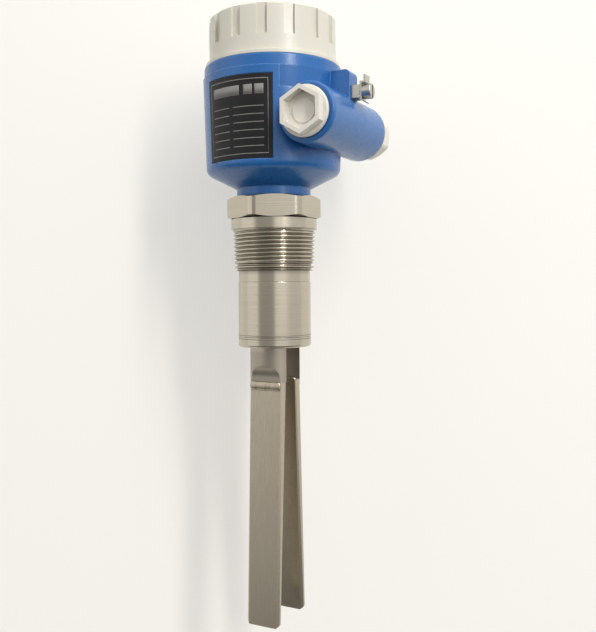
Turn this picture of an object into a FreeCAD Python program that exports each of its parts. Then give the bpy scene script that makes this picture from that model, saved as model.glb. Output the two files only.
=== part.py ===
import FreeCAD, Part
import math
import os
import Sketcher

# Vibrating fork level switch for bulk solids, compact version.
# Units are millimetres. The origin lies on the main axis, at the shoulder where the taper thread starts.
# +Z points up to the wiring head, -Y to the front entry plug, +X to the cable tunnel's side.

os.makedirs("parts", exist_ok=True)

doc = FreeCAD.newDocument("fork_level_switch")
sheet = doc.addObject("Spreadsheet::Sheet", "Sizes")
Vector = FreeCAD.Vector


# Driving dimensions: every size that can be set by itself, with what it measures

DIMENSIONS = [
    ("thread_crest_dia", 48.6, "taper pipe thread: crest diameter at the shoulder"),
    ("thread_taper", 16.0, "taper pipe thread: length over which the diameter loses one unit"),
    ("thread_length", 24.5, "taper pipe thread: length below the shoulder"),
    ("collar_dia", 51.0, "round collar between the thread and the hexagon"),
    ("collar_height", 5.9, "height of that collar"),
    ("hex_flats", 50.0, "spanner hexagon across flats"),
    ("hex_corner_dia", 55.5, "diameter that the hexagon's corners are turned to"),
    ("hex_height", 13.4, "height of the spanner hexagon"),
    ("hex_bevel", 1.5, "axial height of the bevel on both hexagon faces"),
    ("spigot_dia", 42.4, "spigot below the thread that the neck tube is welded to"),
    ("spigot_length", 6.5, "length of that spigot"),
    ("wire_bore_dia", 16.0, "bore through the adapter for the sensor lead"),
    ("stem_dia", 34.0, "stem of the adapter that the head turns on"),
    ("stem_clearance", 0.08, "radial running clearance between the stem and the head"),
    ("neck_tube_dia", 43.0, "outside diameter of the neck tube"),
    ("neck_tube_wall", 2.0, "wall of the neck tube"),
    ("neck_tube_length", 32.3, "length of the neck tube"),
    ("fork_rim_height", 6.0, "height of the fork head's rim under the tube"),
    ("fork_rim_round", 1.5, "rounding of the rim's lower edge"),
    ("diaphragm_thickness", 2.5, "thickness of the diaphragm in the fork head"),
    ("stub_dia", 29.6, "round bar that the two fork stubs are cut from"),
    ("stub_length", 20.2, "length of the stubs below the diaphragm"),
    ("stub_slot", 17.0, "slot between the stubs"),
    ("stub_flat", 11.5, "distance from the axis to the milled flat on each stub"),
    ("scoop_radius", 9.0, "radius of the cutter that runs out of each flat"),
    ("flat_length", 2.4, "straight length of the milled flat above the weld"),
    ("blade_length", 140.5, "length of a fork blade below its stub"),
    ("blade_width", 21.0, "width of a fork blade"),
    ("blade_root", 5.5, "thickness of a blade at its weld"),
    ("blade_tip", 4.6, "thickness of a blade at its tip"),
    ("blade_spread", 6.4, "how far a blade's outer face leans out at its tip"),
    ("blade_corner", 2.6, "rounding of the blade's tip corners"),
    ("root_bevel", 0.5, "bevel of the blade's long edges at its weld"),
    ("tip_bevel", 1.6, "bevel of the blade's long edges at its tip"),
    ("bead_height", 4.8, "height of the weld bead at a blade's root"),
    ("bead_proud", 0.9, "how far the weld bead stands proud of the blade"),
    ("neck_dia", 44.0, "head casting: neck that stands on the hexagon"),
    ("neck_height", 4.6, "height of that neck"),
    ("cone_dia", 49.0, "head casting: inner end of the sloping floor"),
    ("cone_rise", 1.5, "rise from the neck to the sloping floor"),
    ("wall_foot_dia", 79.4, "outside of the head's wall at its foot"),
    ("wall_foot_height", 33.0, "height of the wall's foot above the shoulder"),
    ("wall_foot_round", 5.0, "rounding between the wall and the sloping floor"),
    ("wall_top_dia", 82.8, "outside of the wall under the rim"),
    ("rim_height", 88.0, "height where the rim starts"),
    ("rim_dia", 81.4, "outside of the rim"),
    ("rim_thickness", 6.8, "height of the rim band"),
    ("rim_round", 1.1, "rounding of the rim's upper edge"),
    ("mouth_dia", 72.4, "threaded mouth of the head"),
    ("mouth_depth", 14.5, "depth of the threaded mouth"),
    ("cavity_dia", 70.0, "cavity of the head under its mouth"),
    ("floor_height", 38.0, "height of the cavity's floor"),
    ("cavity_round", 3.0, "rounding between the cavity's wall and floor"),
    ("seal_section", 2.2, "cord diameter of the cover seal"),
    ("seal_room", 0.25, "room around the cover seal in its groove"),
    ("tunnel_offset", 40.4, "distance of the cable tunnel from the main axis"),
    ("tunnel_height", 59.5, "height of the cable tunnel's axis"),
    ("tunnel_dia", 33.5, "outside of the cable tunnel"),
    ("tunnel_length", 75.0, "length of the cable tunnel over both end faces"),
    ("tunnel_round", 1.6, "rounding of the tunnel's end faces"),
    ("tunnel_core_dia", 24.0, "cored inside of the tunnel"),
    ("entry_thread_dia", 20.0, "thread of the two cable entries"),
    ("entry_depth", 12.0, "depth of the two cable entries"),
    ("thread_clearance", 0.3, "radial room left between screwed pieces"),
    ("panel_start", 33.6, "raised panel: first edge, in degrees from the front"),
    ("panel_end", 87.0, "raised panel: last edge, in degrees from the front"),
    ("panel_proud", 1.0, "how far the raised panel stands proud of the wall"),
    ("panel_height", 12.0, "height of the raised panel under the rim"),
    ("lug_out", 11.6, "earth lug: distance of its face beyond the tunnel's axis"),
    ("lug_width", 11.0, "width of the earth lug"),
    ("lug_top", 88.5, "height of the earth lug's top"),
    ("lug_drop", 20.0, "height of the earth lug, down into the tunnel"),
    ("lug_round", 3.0, "rounding of the earth lug's upper outer edge"),
    ("plate_start", -33.0, "nameplate: first edge, in degrees from the front"),
    ("plate_end", 28.0, "nameplate: last edge, in degrees from the front"),
    ("plate_foot", 40.3, "height of the nameplate's lower edge"),
    ("plate_height", 42.7, "height of the nameplate"),
    ("plate_thickness", 0.6, "thickness of the nameplate"),
    ("plate_margin", 0.4, "room around the nameplate in its recess"),
    ("post_dia", 8.0, "posts in the head that carry the electronic insert"),
    ("post_height", 8.0, "height of those posts above the floor"),
    ("post_room", 1.0, "room between those posts and the round nut on the stem"),
    ("cover_dia", 75.2, "screw cover: outside of its wall"),
    ("cover_bead_dia", 79.6, "screw cover: bead at its foot"),
    ("cover_bead_height", 2.6, "height of that bead"),
    ("cover_height", 29.0, "height of the cover above the rim"),
    ("cover_wall", 3.9, "wall of the cover"),
    ("cover_roof", 3.5, "thickness of the cover's top"),
    ("cover_bevel", 1.2, "bevel of the cover's top edge"),
    ("cover_gap", 0.2, "gap between the cover and the rim"),
    ("skirt_depth", 12.0, "depth of the cover's threaded skirt in the mouth"),
    ("skirt_wall", 3.2, "wall of that skirt"),
    ("flute_count", 15.0, "finger flutes round the cover"),
    ("flute_width", 6.2, "width of a finger flute"),
    ("flute_depth", 2.0, "depth of a finger flute"),
    ("flute_length", 17.5, "length of a finger flute below the cover's top"),
    ("flute_angle", 43.0, "direction of the first flute, in degrees from the front"),
    ("plug_collar_dia", 28.0, "entry plug: round collar"),
    ("plug_collar_height", 2.2, "height of that collar"),
    ("plug_hex_flats", 23.0, "entry plug: hollow hexagon across flats"),
    ("plug_hex_height", 5.2, "height of the hexagon above the collar"),
    ("plug_hex_wall", 2.2, "wall of the hollow hexagon"),
    ("plug_hollow_depth", 5.8, "depth of the hollow in the hexagon"),
    ("plug_pad_dia", 13.0, "round pad on the floor of that hollow"),
    ("plug_pad_height", 0.6, "height of that pad"),
    ("plug_shank", 9.5, "length of the plug's screwed shank"),
    ("gasket_thickness", 1.0, "thickness of the entry gaskets"),
    ("gasket_dia", 26.0, "outside of the entry gaskets"),
    ("gland_hex_flats", 24.0, "cable gland: hexagon across flats"),
    ("gland_hex_height", 6.0, "height of that hexagon"),
    ("gland_collar_dia", 20.0, "screwed collar that the gland's nut runs on"),
    ("gland_collar_height", 8.0, "height of that collar"),
    ("gland_nut_dia", 26.6, "cable gland: outside of the cap nut over its corners"),
    ("gland_nut_height", 14.0, "height of the cap nut"),
    ("gland_nut_gap", 0.8, "gap between the cap nut and the gland's hexagon"),
    ("cable_dia", 9.0, "hole for the cable through the gland's bush"),
    ("cable_room", 2.9, "radial room round the cable in the gland's body and cap nut"),
    ("bush_dia", 16.8, "outside of the gland's rubber bush"),
    ("bush_length", 9.0, "length of the gland's rubber bush"),
    ("earth_room", 0.3, "room between the earth terminal's block and the tunnel"),
    ("earth_block", 7.6, "side of the earth terminal's square block"),
    ("earth_block_depth", 5.0, "depth of that block"),
    ("earth_clip_sheet", 1.2, "sheet of the earth terminal's clip"),
    ("earth_clip_width", 6.4, "width of that clip"),
    ("earth_clip_room", 0.4, "room between the clip's tabs and the screw's head"),
    ("earth_clip_tab", 4.6, "length of the clip's upright tab"),
    ("earth_clip_step", 2.4, "how far the clip's tabs step out"),
    ("earth_washer_dia", 7.6, "outside of the spring washer"),
    ("earth_washer_sheet", 1.2, "thickness of the spring washer"),
    ("earth_screw_dia", 4.0, "shank of the earth screw"),
    ("earth_screw_length", 19.0, "length of that shank under its head"),
    ("earth_head_dia", 8.4, "head of the earth screw"),
    ("earth_head_height", 4.2, "height of that head"),
    ("earth_slot", 1.4, "slot across that head"),
    ("screw_clearance", 0.25, "radial room between a screw's shank and its holes"),
    ("ring_section", 2.6, "cord diameter of the seal between stem and head"),
    ("ring_inset", 3.0, "distance of that seal above the hexagon"),
    ("lock_nut_dia", 40.0, "round nut that holds the head on the stem"),
    ("lock_nut_height", 5.0, "height of that nut"),
    ("lock_nut_gap", 0.15, "running gap between that nut and the head's floor"),
    ("insert_dia", 62.0, "electronic insert: outside of its cup"),
    ("insert_height", 33.0, "height of the cup"),
    ("insert_wall", 1.8, "wall of the cup"),
    ("insert_flat", 27.0, "distance from the axis to the flat that lets wires pass"),
    ("board_height", 16.0, "height of the circuit board above the cup's foot"),
    ("board_thickness", 1.6, "thickness of the circuit board"),
    ("board_ledge", 0.9, "ledge in the cup that the board lies on"),
    ("lid_thickness", 2.0, "thickness of the insert's lid"),
    ("terminal_length", 34.0, "terminal block: length along the lid"),
    ("terminal_width", 11.0, "terminal block: width"),
    ("terminal_height", 10.0, "terminal block: height above the lid"),
    ("terminal_place", -13.0, "terminal block: distance in front of the axis"),
    ("terminal_pitch", 8.0, "distance between the terminals"),
    ("terminal_count", 4.0, "number of terminals"),
    ("terminal_screw_dia", 4.4, "heads of the terminal screws"),
    ("terminal_screw_height", 2.0, "height of those heads in their wells"),
    ("terminal_hole", 4.6, "wire holes of the terminals"),
    ("switch_length", 20.0, "switch frame: length"),
    ("switch_width", 9.0, "switch frame: width"),
    ("switch_height", 5.0, "switch frame: height above the lid"),
    ("switch_place", 11.0, "switch frame: distance behind the axis"),
    ("slider_pitch", 6.0, "distance between the sliding switches"),
    ("slider_width", 2.4, "width of a switch slider"),
    ("slider_length", 2.6, "length of a switch slider"),
    ("slider_rise", 1.2, "how far a slider stands out of its frame"),
    ("slider_travel", 2.0, "travel of a slider"),
    ("slider_room", 0.25, "room round a slider in its slot"),
    ("slot_depth", 2.6, "depth of a slider's slot"),
    ("lamp_dia", 3.0, "signal lamps on the lid"),
    ("lamp_height", 3.6, "height of the lamps above the lid"),
    ("lamp_spacing", 9.0, "distance between the two lamps"),
    ("insert_screw_dia", 3.6, "shank of the insert's screws"),
    ("insert_screw_head", 7.0, "head of the insert's screws"),
    ("insert_head_height", 2.8, "height of those heads"),
    ("insert_screw_grip", 6.0, "depth of those screws in their posts"),
    ("drive_cup_dia", 33.0, "piezo drive: cup that presses on the diaphragm's rim"),
    ("drive_cup_wall", 3.0, "wall of that cup"),
    ("drive_cup_height", 6.0, "height of that cup"),
    ("drive_stud_dia", 6.0, "stud that pulls the diaphragm's centre"),
    ("drive_room", 0.3, "room between that stud and the stack"),
    ("piezo_dia", 22.0, "outside of the piezo rings"),
    ("piezo_thickness", 2.0, "thickness of a piezo ring"),
    ("piezo_count", 4.0, "number of piezo rings in the stack"),
    ("contact_sheet", 0.3, "contact sheets between the piezo rings"),
    ("contact_dia", 24.0, "outside of the contact sheets"),
    ("insulator_thickness", 1.0, "insulating ring at each end of the stack"),
    ("drive_nut_flats", 13.0, "nut that clamps the stack, across flats"),
    ("drive_nut_height", 5.0, "height of that nut"),
    ("lead_dia", 4.0, "sensor lead between the drive and the insert"),
    ("lead_gap", 0.3, "gap between the lead's ends and what they plug into"),
    ("guide_dia", 20.0, "flange of the guide that carries the lead"),
    ("guide_flange", 2.0, "thickness of that flange"),
    ("guide_length", 12.0, "length of the guide in the wire bore"),
    ("guide_fit", 0.1, "radial fit of the guide in the bore and of the lead in the guide"),
]


class Size:
    """A size as a number and as the sheet expression that it comes from."""

    def __init__(self, number, text):
        self.number = float(number)
        self.text = text

    def joined(self, other, sign, number):
        return Size(number, f"({self.text} {sign} {other.text})")

    def __add__(self, other):
        other = as_size(other)
        return self.joined(other, "+", self.number + other.number)

    def __sub__(self, other):
        other = as_size(other)
        return self.joined(other, "-", self.number - other.number)

    def __mul__(self, other):
        other = as_size(other)
        return self.joined(other, "*", self.number * other.number)

    def __truediv__(self, other):
        other = as_size(other)
        return self.joined(other, "/", self.number / other.number)

    def __radd__(self, other):
        return as_size(other) + self

    def __rsub__(self, other):
        return as_size(other) - self

    def __rmul__(self, other):
        return as_size(other) * self

    def __neg__(self):
        return Size(-self.number, f"(-{self.text})")

    def root(self):
        return Size(math.sqrt(self.number), f"sqrt({self.text})")


def as_size(value):
    """A plain number stands for itself in an expression."""
    if isinstance(value, Size):
        return value
    return Size(value, repr(float(value)))


def fill_sheet():
    """Write the driving dimensions into the sheet and hand them back by name."""
    for row, (alias, number, meaning) in enumerate(DIMENSIONS, 1):
        sheet.set(f"A{row}", meaning)
        sheet.set(f"B{row}", str(number))
        sheet.setAlias(f"B{row}", alias)
    doc.recompute()
    return {alias: Size(sheet.get(alias), f"Sizes.{alias}") for alias, number, meaning in DIMENSIONS}


size = fill_sheet()
SAME_PLACE = 1e-4


# Helpers: bodies, sketches and the operations that make the pieces

def bind(thing, property_name, value):
    """Tie a property to the sheet, or set it where the value is a plain number."""
    value = as_size(value)
    thing.setExpression(property_name, value.text)


def new_body(label):
    body = doc.addObject("PartDesign::Body", label)
    body.Label = label
    return body


def new_sketch(body, role):
    """A sketch on one of the body's own origin planes."""
    sketch = body.newObject("Sketcher::SketchObject", body.Label + "_sketch")
    plane = [feature for feature in body.Origin.OriginFeatures if feature.Role == role][0]
    sketch.AttachmentSupport = [(plane, "")]
    sketch.MapMode = "FlatFace"
    return sketch


def pin_point(sketch, geometry, point, across, up):
    """Hold one point of a sketch at two sheet values from the sketch's origin."""
    for kind, value, axis in (("DistanceX", as_size(across), -2), ("DistanceY", as_size(up), -1)):
        if value.text in ("0.0", "(0.0)"):
            sketch.addConstraint(Sketcher.Constraint("PointOnObject", geometry, point, axis))
        else:
            index = sketch.addConstraint(Sketcher.Constraint(kind, -1, 1, geometry, point, value.number))
            sketch.setExpression(f"Constraints[{index}]", value.text)


def draw_outline(sketch, corners):
    """A closed outline of straight lines whose corners follow the sheet."""
    first = sketch.GeometryCount
    count = len(corners)
    points = [Vector(as_size(across).number, as_size(up).number, 0) for across, up in corners]
    for index in range(count):
        sketch.addGeometry(Part.LineSegment(points[index], points[(index + 1) % count]))
    for index in range(count):
        following = first + (index + 1) % count
        sketch.addConstraint(Sketcher.Constraint("Coincident", first + index, 2, following, 1))
    for index, (across, up) in enumerate(corners):
        pin_point(sketch, first + index, 1, across, up)


def draw_circle(sketch, across, up, radius):
    """A circle whose centre and radius follow the sheet."""
    centre = Vector(as_size(across).number, as_size(up).number, 0)
    geometry = sketch.addGeometry(Part.Circle(centre, Vector(0, 0, 1), as_size(radius).number))
    pin_point(sketch, geometry, 3, across, up)
    index = sketch.addConstraint(Sketcher.Constraint("Radius", geometry, as_size(radius).number))
    sketch.setExpression(f"Constraints[{index}]", as_size(radius).text)


def turned(label, corners, sweep=None):
    """A piece turned about Z from corners given as radius and height, whole or as a sector about +X."""
    body = new_body(label)
    sketch = new_sketch(body, "XZ_Plane")
    draw_outline(sketch, corners)
    turn = body.newObject("PartDesign::Revolution", label + "_turn")
    turn.Profile = sketch
    turn.ReferenceAxis = (sketch, ["V_Axis"])
    turn.Angle = 360
    if sweep is not None:
        turn.Midplane = True
        bind(turn, "Angle", sweep)
    doc.recompute()
    return body


def ring(label, inner_radius, outer_radius, foot, height):
    """A plain turned ring."""
    top = foot + height
    corners = [(inner_radius, foot), (outer_radius, foot), (outer_radius, top), (inner_radius, top)]
    return turned(label, corners)


def disc(label, radius, foot, height):
    """A plain turned disc."""
    return turned(label, [(0, foot), (radius, foot), (radius, foot + height), (0, foot + height)])


def padded(label, role, corners, length, holes=()):
    """A plate or bar of constant section, centred on one of the origin planes."""
    body = new_body(label)
    sketch = new_sketch(body, role)
    draw_outline(sketch, corners)
    for across, up, radius in holes:
        draw_circle(sketch, across, up, radius)
    pad = body.newObject("PartDesign::Pad", label + "_pad")
    pad.Profile = sketch
    pad.SideType = "Symmetric"
    bind(pad, "Length", length)
    doc.recompute()
    return body


def pocketed(body, role, corners, length):
    """Cut a block of constant section, centred on one of the origin planes, out of a body."""
    sketch = new_sketch(body, role)
    draw_outline(sketch, corners)
    before = body.Shape.Volume
    pocket = body.newObject("PartDesign::Pocket", body.Label + "_pocket")
    pocket.Profile = sketch
    pocket.SideType = "Symmetric"
    bind(pocket, "Length", length)
    doc.recompute()
    if body.Shape.Volume >= before:
        raise RuntimeError(f"the pocket in {body.Label} cuts nothing")
    return pocket


def repeated_round(body, feature, count):
    """Repeat a cut evenly round the body's Z axis."""
    pattern = body.newObject("PartDesign::PolarPattern", body.Label + "_pattern")
    pattern.Originals = [feature]
    pattern.Axis = ([axis for axis in body.Origin.OriginFeatures if axis.Role == "Z_Axis"][0], [""])
    pattern.Angle = 360
    bind(pattern, "Occurrences", count)
    body.Tip = pattern
    doc.recompute()
    return pattern


def rounded(body, radius, chosen, kind="Fillet"):
    """Round or bevel the edges that a test picks out of the body."""
    tip = body.Tip
    names = [f"Edge{index}" for index, edge in enumerate(tip.Shape.Edges, 1) if chosen(edge)]
    if not names:
        raise RuntimeError(f"no edge to round on {body.Label}")
    edge_feature = body.newObject("PartDesign::" + kind, body.Label + "_" + kind.lower())
    edge_feature.Base = (tip, names)
    bind(edge_feature, "Radius" if kind == "Fillet" else "Size", radius)
    doc.recompute()
    return edge_feature


def circle_at(height, radius):
    """A test for round edges about the Z axis, at one height and radius."""
    height = as_size(height).number
    radius = as_size(radius).number

    def test(edge):
        if not isinstance(edge.Curve, Part.Circle):
            return False
        at_height = abs(edge.Curve.Center.z - height) < SAME_PLACE
        return at_height and abs(edge.Curve.Radius - radius) < SAME_PLACE

    return test


def joined(label, pieces):
    """Fuse pieces of one casting."""
    fuse = doc.addObject("Part::MultiFuse", label)
    fuse.Shapes = pieces
    fuse.Refine = True
    fuse.Label = label
    doc.recompute()
    return fuse


def cut(label, base, tool):
    """Cut one shape out of another."""
    result = doc.addObject("Part::Cut", label)
    result.Base = base
    result.Tool = tool
    result.Refine = True
    result.Label = label
    doc.recompute()
    return result


def shared(label, first, second):
    """What two shapes have in common."""
    common = doc.addObject("Part::Common", label)
    common.Base = first
    common.Tool = second
    common.Refine = True
    common.Label = label
    doc.recompute()
    return common


def group(label, pieces):
    """Like pieces that share a node, kept as separate solids."""
    compound = doc.addObject("Part::Compound", label)
    compound.Links = pieces
    compound.Label = label
    doc.recompute()
    return compound


def place(thing, across=0, along=0, up=0, axis=Vector(0, 0, 1), angle=0):
    """Move a piece by sheet values and turn it about one axis."""
    thing.Placement = FreeCAD.Placement(Vector(0, 0, 0), FreeCAD.Rotation(axis, 90))
    bind(thing, "Placement.Base.x", across)
    bind(thing, "Placement.Base.y", along)
    bind(thing, "Placement.Base.z", up)
    bind(thing, "Placement.Rotation.Angle", angle)
    doc.recompute()
    return thing


TO_FRONT = {"axis": Vector(1, 0, 0), "angle": 90}
TO_REAR = {"axis": Vector(1, 0, 0), "angle": -90}
TO_SIDE = {"axis": Vector(0, 1, 0), "angle": 90}
FRONT_DIRECTION = -90
EVEN = 6
HALF_TURN = 180
made = []


def keep(piece):
    """Put a finished sub-part on the list of nodes."""
    made.append(piece)
    return piece


def hexagon(flats):
    """Corners of a hexagon across flats, with a flat facing +X."""
    corner = flats / (2 * math.cos(math.pi / EVEN))
    angles = [(2 * index + 1) * math.pi / EVEN for index in range(EVEN)]
    return [(corner * round(math.cos(angle), 9), corner * round(math.sin(angle), 9)) for angle in angles]


def hexagon_bar(label, flats, foot, height, hole):
    """A hexagon bar about Z with a round hole."""
    body = new_body(label)
    sketch = new_sketch(body, "XY_Plane")
    draw_outline(sketch, hexagon(flats))
    draw_circle(sketch, 0, 0, hole)
    bind(sketch, "AttachmentOffset.Base.z", foot)
    pad = body.newObject("PartDesign::Pad", label + "_pad")
    pad.Profile = sketch
    bind(pad, "Length", height)
    doc.recompute()
    return body


# Heights and distances that several pieces share

hex_top = size["collar_height"] + size["hex_height"]
tube_top = -size["thread_length"] - size["spigot_length"]
tube_foot = tube_top - size["neck_tube_length"]
fork_face = tube_foot - size["fork_rim_height"]
stub_foot = fork_face - size["stub_length"]
blade_tip_height = stub_foot - size["blade_length"]
rim_top = size["rim_height"] + size["rim_thickness"]
cover_foot = rim_top + size["cover_gap"]
cover_top = rim_top + size["cover_height"]
insert_foot = size["floor_height"] + size["post_height"]
lid_foot = insert_foot + size["insert_height"]
lid_top = lid_foot + size["lid_thickness"]
nut_foot = size["floor_height"] + size["lock_nut_gap"]
nut_top = nut_foot + size["lock_nut_height"]
lug_reach = size["tunnel_offset"] + size["lug_out"]
tunnel_radius = size["tunnel_dia"] / 2
tunnel_at_lug = (tunnel_radius * tunnel_radius - size["lug_out"] * size["lug_out"]).root()
earth_height = size["tunnel_height"] + tunnel_at_lug + size["earth_room"] + size["earth_block"] / 2
post_offset = size["lock_nut_dia"] / 2 + size["post_room"] + size["post_dia"] / 2


# Process adapter: one turned bar with the spanner hexagon, the taper thread's cone and the stem for the head

def make_adapter():
    bore = size["wire_bore_dia"] / 2
    stem = size["stem_dia"] / 2
    corner = size["hex_corner_dia"] / 2
    collar = size["collar_dia"] / 2
    bevel_face = size["hex_flats"] / 2 - size["hex_bevel"] / 2
    crest = size["thread_crest_dia"] / 2
    small_crest = crest - size["thread_length"] / size["thread_taper"] / 2
    spigot = size["spigot_dia"] / 2
    ring_foot = hex_top + size["ring_inset"]
    ring_room = size["ring_section"] + 2 * size["guide_fit"]
    ring_floor = stem + size["stem_clearance"] - size["ring_section"] - size["guide_fit"]
    bar = turned("adapter_bar", [
        (bore, tube_top),
        (spigot, tube_top),
        (spigot, -size["thread_length"]),
        (small_crest, -size["thread_length"]),
        (crest, 0),
        (collar, 0),
        (collar, size["collar_height"]),
        (stem, size["collar_height"]),
        (stem, ring_foot),
        (ring_floor, ring_foot),
        (ring_floor, ring_foot + ring_room),
        (stem, ring_foot + ring_room),
        (stem, nut_top),
        (bore, nut_top),
    ])
    blank = turned("adapter_blank", [
        (bore, size["collar_height"]),
        (bevel_face, size["collar_height"]),
        (corner, size["collar_height"] + size["hex_bevel"]),
        (corner, hex_top - size["hex_bevel"]),
        (bevel_face, hex_top),
        (bore, hex_top),
    ])
    prism = hexagon_bar("adapter_prism", size["hex_flats"], size["collar_height"], size["hex_height"], bore)
    keep(joined("process_adapter", [bar, shared("adapter_hexagon", blank, prism)]))


def make_stem_pieces():
    """The seal that the head turns on, and the round nut that holds the head down."""
    stem = size["stem_dia"] / 2
    section = size["ring_section"] / 2
    seal = doc.addObject("Part::Torus", "stem_seal")
    bind(seal, "Radius1", stem + size["stem_clearance"] - section - size["guide_fit"] / 2)
    bind(seal, "Radius2", section - size["guide_fit"] / 2)
    place(seal, up=hex_top + size["ring_inset"] + section + size["guide_fit"])
    keep(seal)
    notch = size["lock_nut_height"]
    reach = size["lock_nut_dia"] / 2
    nut = ring("lock_nut", stem + size["guide_fit"], reach, nut_foot, size["lock_nut_height"])
    notch_floor = reach - notch / 2
    pocket = pocketed(nut, "XZ_Plane", [
        (notch_floor, nut_foot - notch),
        (reach + notch, nut_foot - notch),
        (reach + notch, nut_top + notch),
        (notch_floor, nut_top + notch),
    ], notch)
    repeated_round(nut, pocket, EVEN)
    keep(nut)


# Neck tube and fork head

def make_neck_tube():
    outer = size["neck_tube_dia"] / 2
    keep(ring("neck_tube", outer - size["neck_tube_wall"], outer, tube_foot, size["neck_tube_length"]))


def make_fork_head():
    outer = size["neck_tube_dia"] / 2
    inner = outer - size["neck_tube_wall"]
    stub = size["stub_dia"] / 2
    diaphragm_top = fork_face + size["diaphragm_thickness"]
    body = turned("fork_head", [
        (0, diaphragm_top),
        (inner, diaphragm_top),
        (inner, tube_foot),
        (outer, tube_foot),
        (outer, fork_face),
        (stub, fork_face),
        (stub, stub_foot),
        (0, stub_foot),
    ])
    rounded(body, size["fork_rim_round"], circle_at(fork_face, outer))
    slot = size["stub_slot"] / 2
    pocketed(body, "YZ_Plane", [
        (-slot, fork_face),
        (slot, fork_face),
        (slot, stub_foot - slot),
        (-slot, stub_foot - slot),
    ], 2 * size["stub_dia"])
    for side in (-1, 1):
        cut_scoop(body, side)
    keep(body)


def cut_scoop(body, side):
    """Mill a flat on the outside of one stub, run out in an arc of the cutter's radius."""
    sketch = new_sketch(body, "YZ_Plane")
    flat = size["stub_flat"]
    radius = size["scoop_radius"]
    arc_foot = stub_foot + size["flat_length"]
    below = stub_foot - radius
    outside = flat + radius
    near = side * flat.number
    far = side * outside.number
    foot = below.number
    start = Vector(near, arc_foot.number, 0)
    end = Vector(far, arc_foot.number + radius.number, 0)
    centre = Vector(far, arc_foot.number, 0)
    first_angle, last_angle = (math.pi / 2, math.pi) if side > 0 else (0, math.pi / 2)
    circle = Part.Circle(centre, Vector(0, 0, 1), radius.number)
    lines = [(Vector(near, foot, 0), start), (end, Vector(far, foot, 0)),
             (Vector(far, foot, 0), Vector(near, foot, 0))]
    for first, last in lines:
        sketch.addGeometry(Part.LineSegment(first, last))
    arc = sketch.addGeometry(Part.ArcOfCircle(circle, first_angle, last_angle))
    start_of_arc, end_of_arc = (2, 1) if side > 0 else (1, 2)
    sketch.addConstraint(Sketcher.Constraint("Coincident", 0, 2, arc, start_of_arc))
    sketch.addConstraint(Sketcher.Constraint("Coincident", 1, 1, arc, end_of_arc))
    sketch.addConstraint(Sketcher.Constraint("Coincident", 1, 2, 2, 1))
    sketch.addConstraint(Sketcher.Constraint("Coincident", 2, 2, 0, 1))
    pin_point(sketch, 0, 1, side * flat, below)
    pin_point(sketch, 0, 2, side * flat, arc_foot)
    pin_point(sketch, 1, 1, side * outside, arc_foot + radius)
    pin_point(sketch, 1, 2, side * outside, below)
    index = sketch.addConstraint(Sketcher.Constraint("Radius", arc, radius.number))
    sketch.setExpression(f"Constraints[{index}]", radius.text)
    before = body.Shape.Volume
    pocket = body.newObject("PartDesign::Pocket", "fork_head_scoop")
    pocket.Profile = sketch
    pocket.SideType = "Symmetric"
    bind(pocket, "Length", 2 * size["stub_dia"])
    doc.recompute()
    if body.Shape.Volume >= before:
        raise RuntimeError("a scoop in the fork head cuts nothing")


# Fork blades: leaning, tapered bars with the weld bead at their root

def blade_section(body, side, inner, outer, edge, height):
    """One section of a blade: a bar with its four long edges bevelled."""
    half = size["blade_width"] / 2
    sketch = new_sketch(body, "XY_Plane")
    bind(sketch, "AttachmentOffset.Base.z", height)
    draw_outline(sketch, [
        (-half, side * (inner + edge)),
        (-half + edge, side * inner),
        (half - edge, side * inner),
        (half, side * (inner + edge)),
        (half, side * (outer - edge)),
        (half - edge, side * outer),
        (-half + edge, side * outer),
        (-half, side * (outer - edge)),
    ])
    return sketch


def make_blade(label, side):
    """A blade lofted from its weld to its wider spread tip, with bevels that widen on the way down."""
    outer = size["stub_flat"]
    inner = outer - size["blade_root"]
    tip_outer = outer + size["blade_spread"]
    tip_inner = tip_outer - size["blade_tip"]
    body = new_body(label)
    root = blade_section(body, side, inner, outer, size["root_bevel"], stub_foot)
    tip = blade_section(body, side, tip_inner, tip_outer, size["tip_bevel"], blade_tip_height)
    loft = body.newObject("PartDesign::AdditiveLoft", label + "_loft")
    loft.Profile = root
    loft.Sections = [tip]
    loft.Ruled = True
    doc.recompute()
    for corner in (-1, 1):
        round_tip_corner(body, corner)
    add_bead(body, side)
    keep(body)


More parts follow.
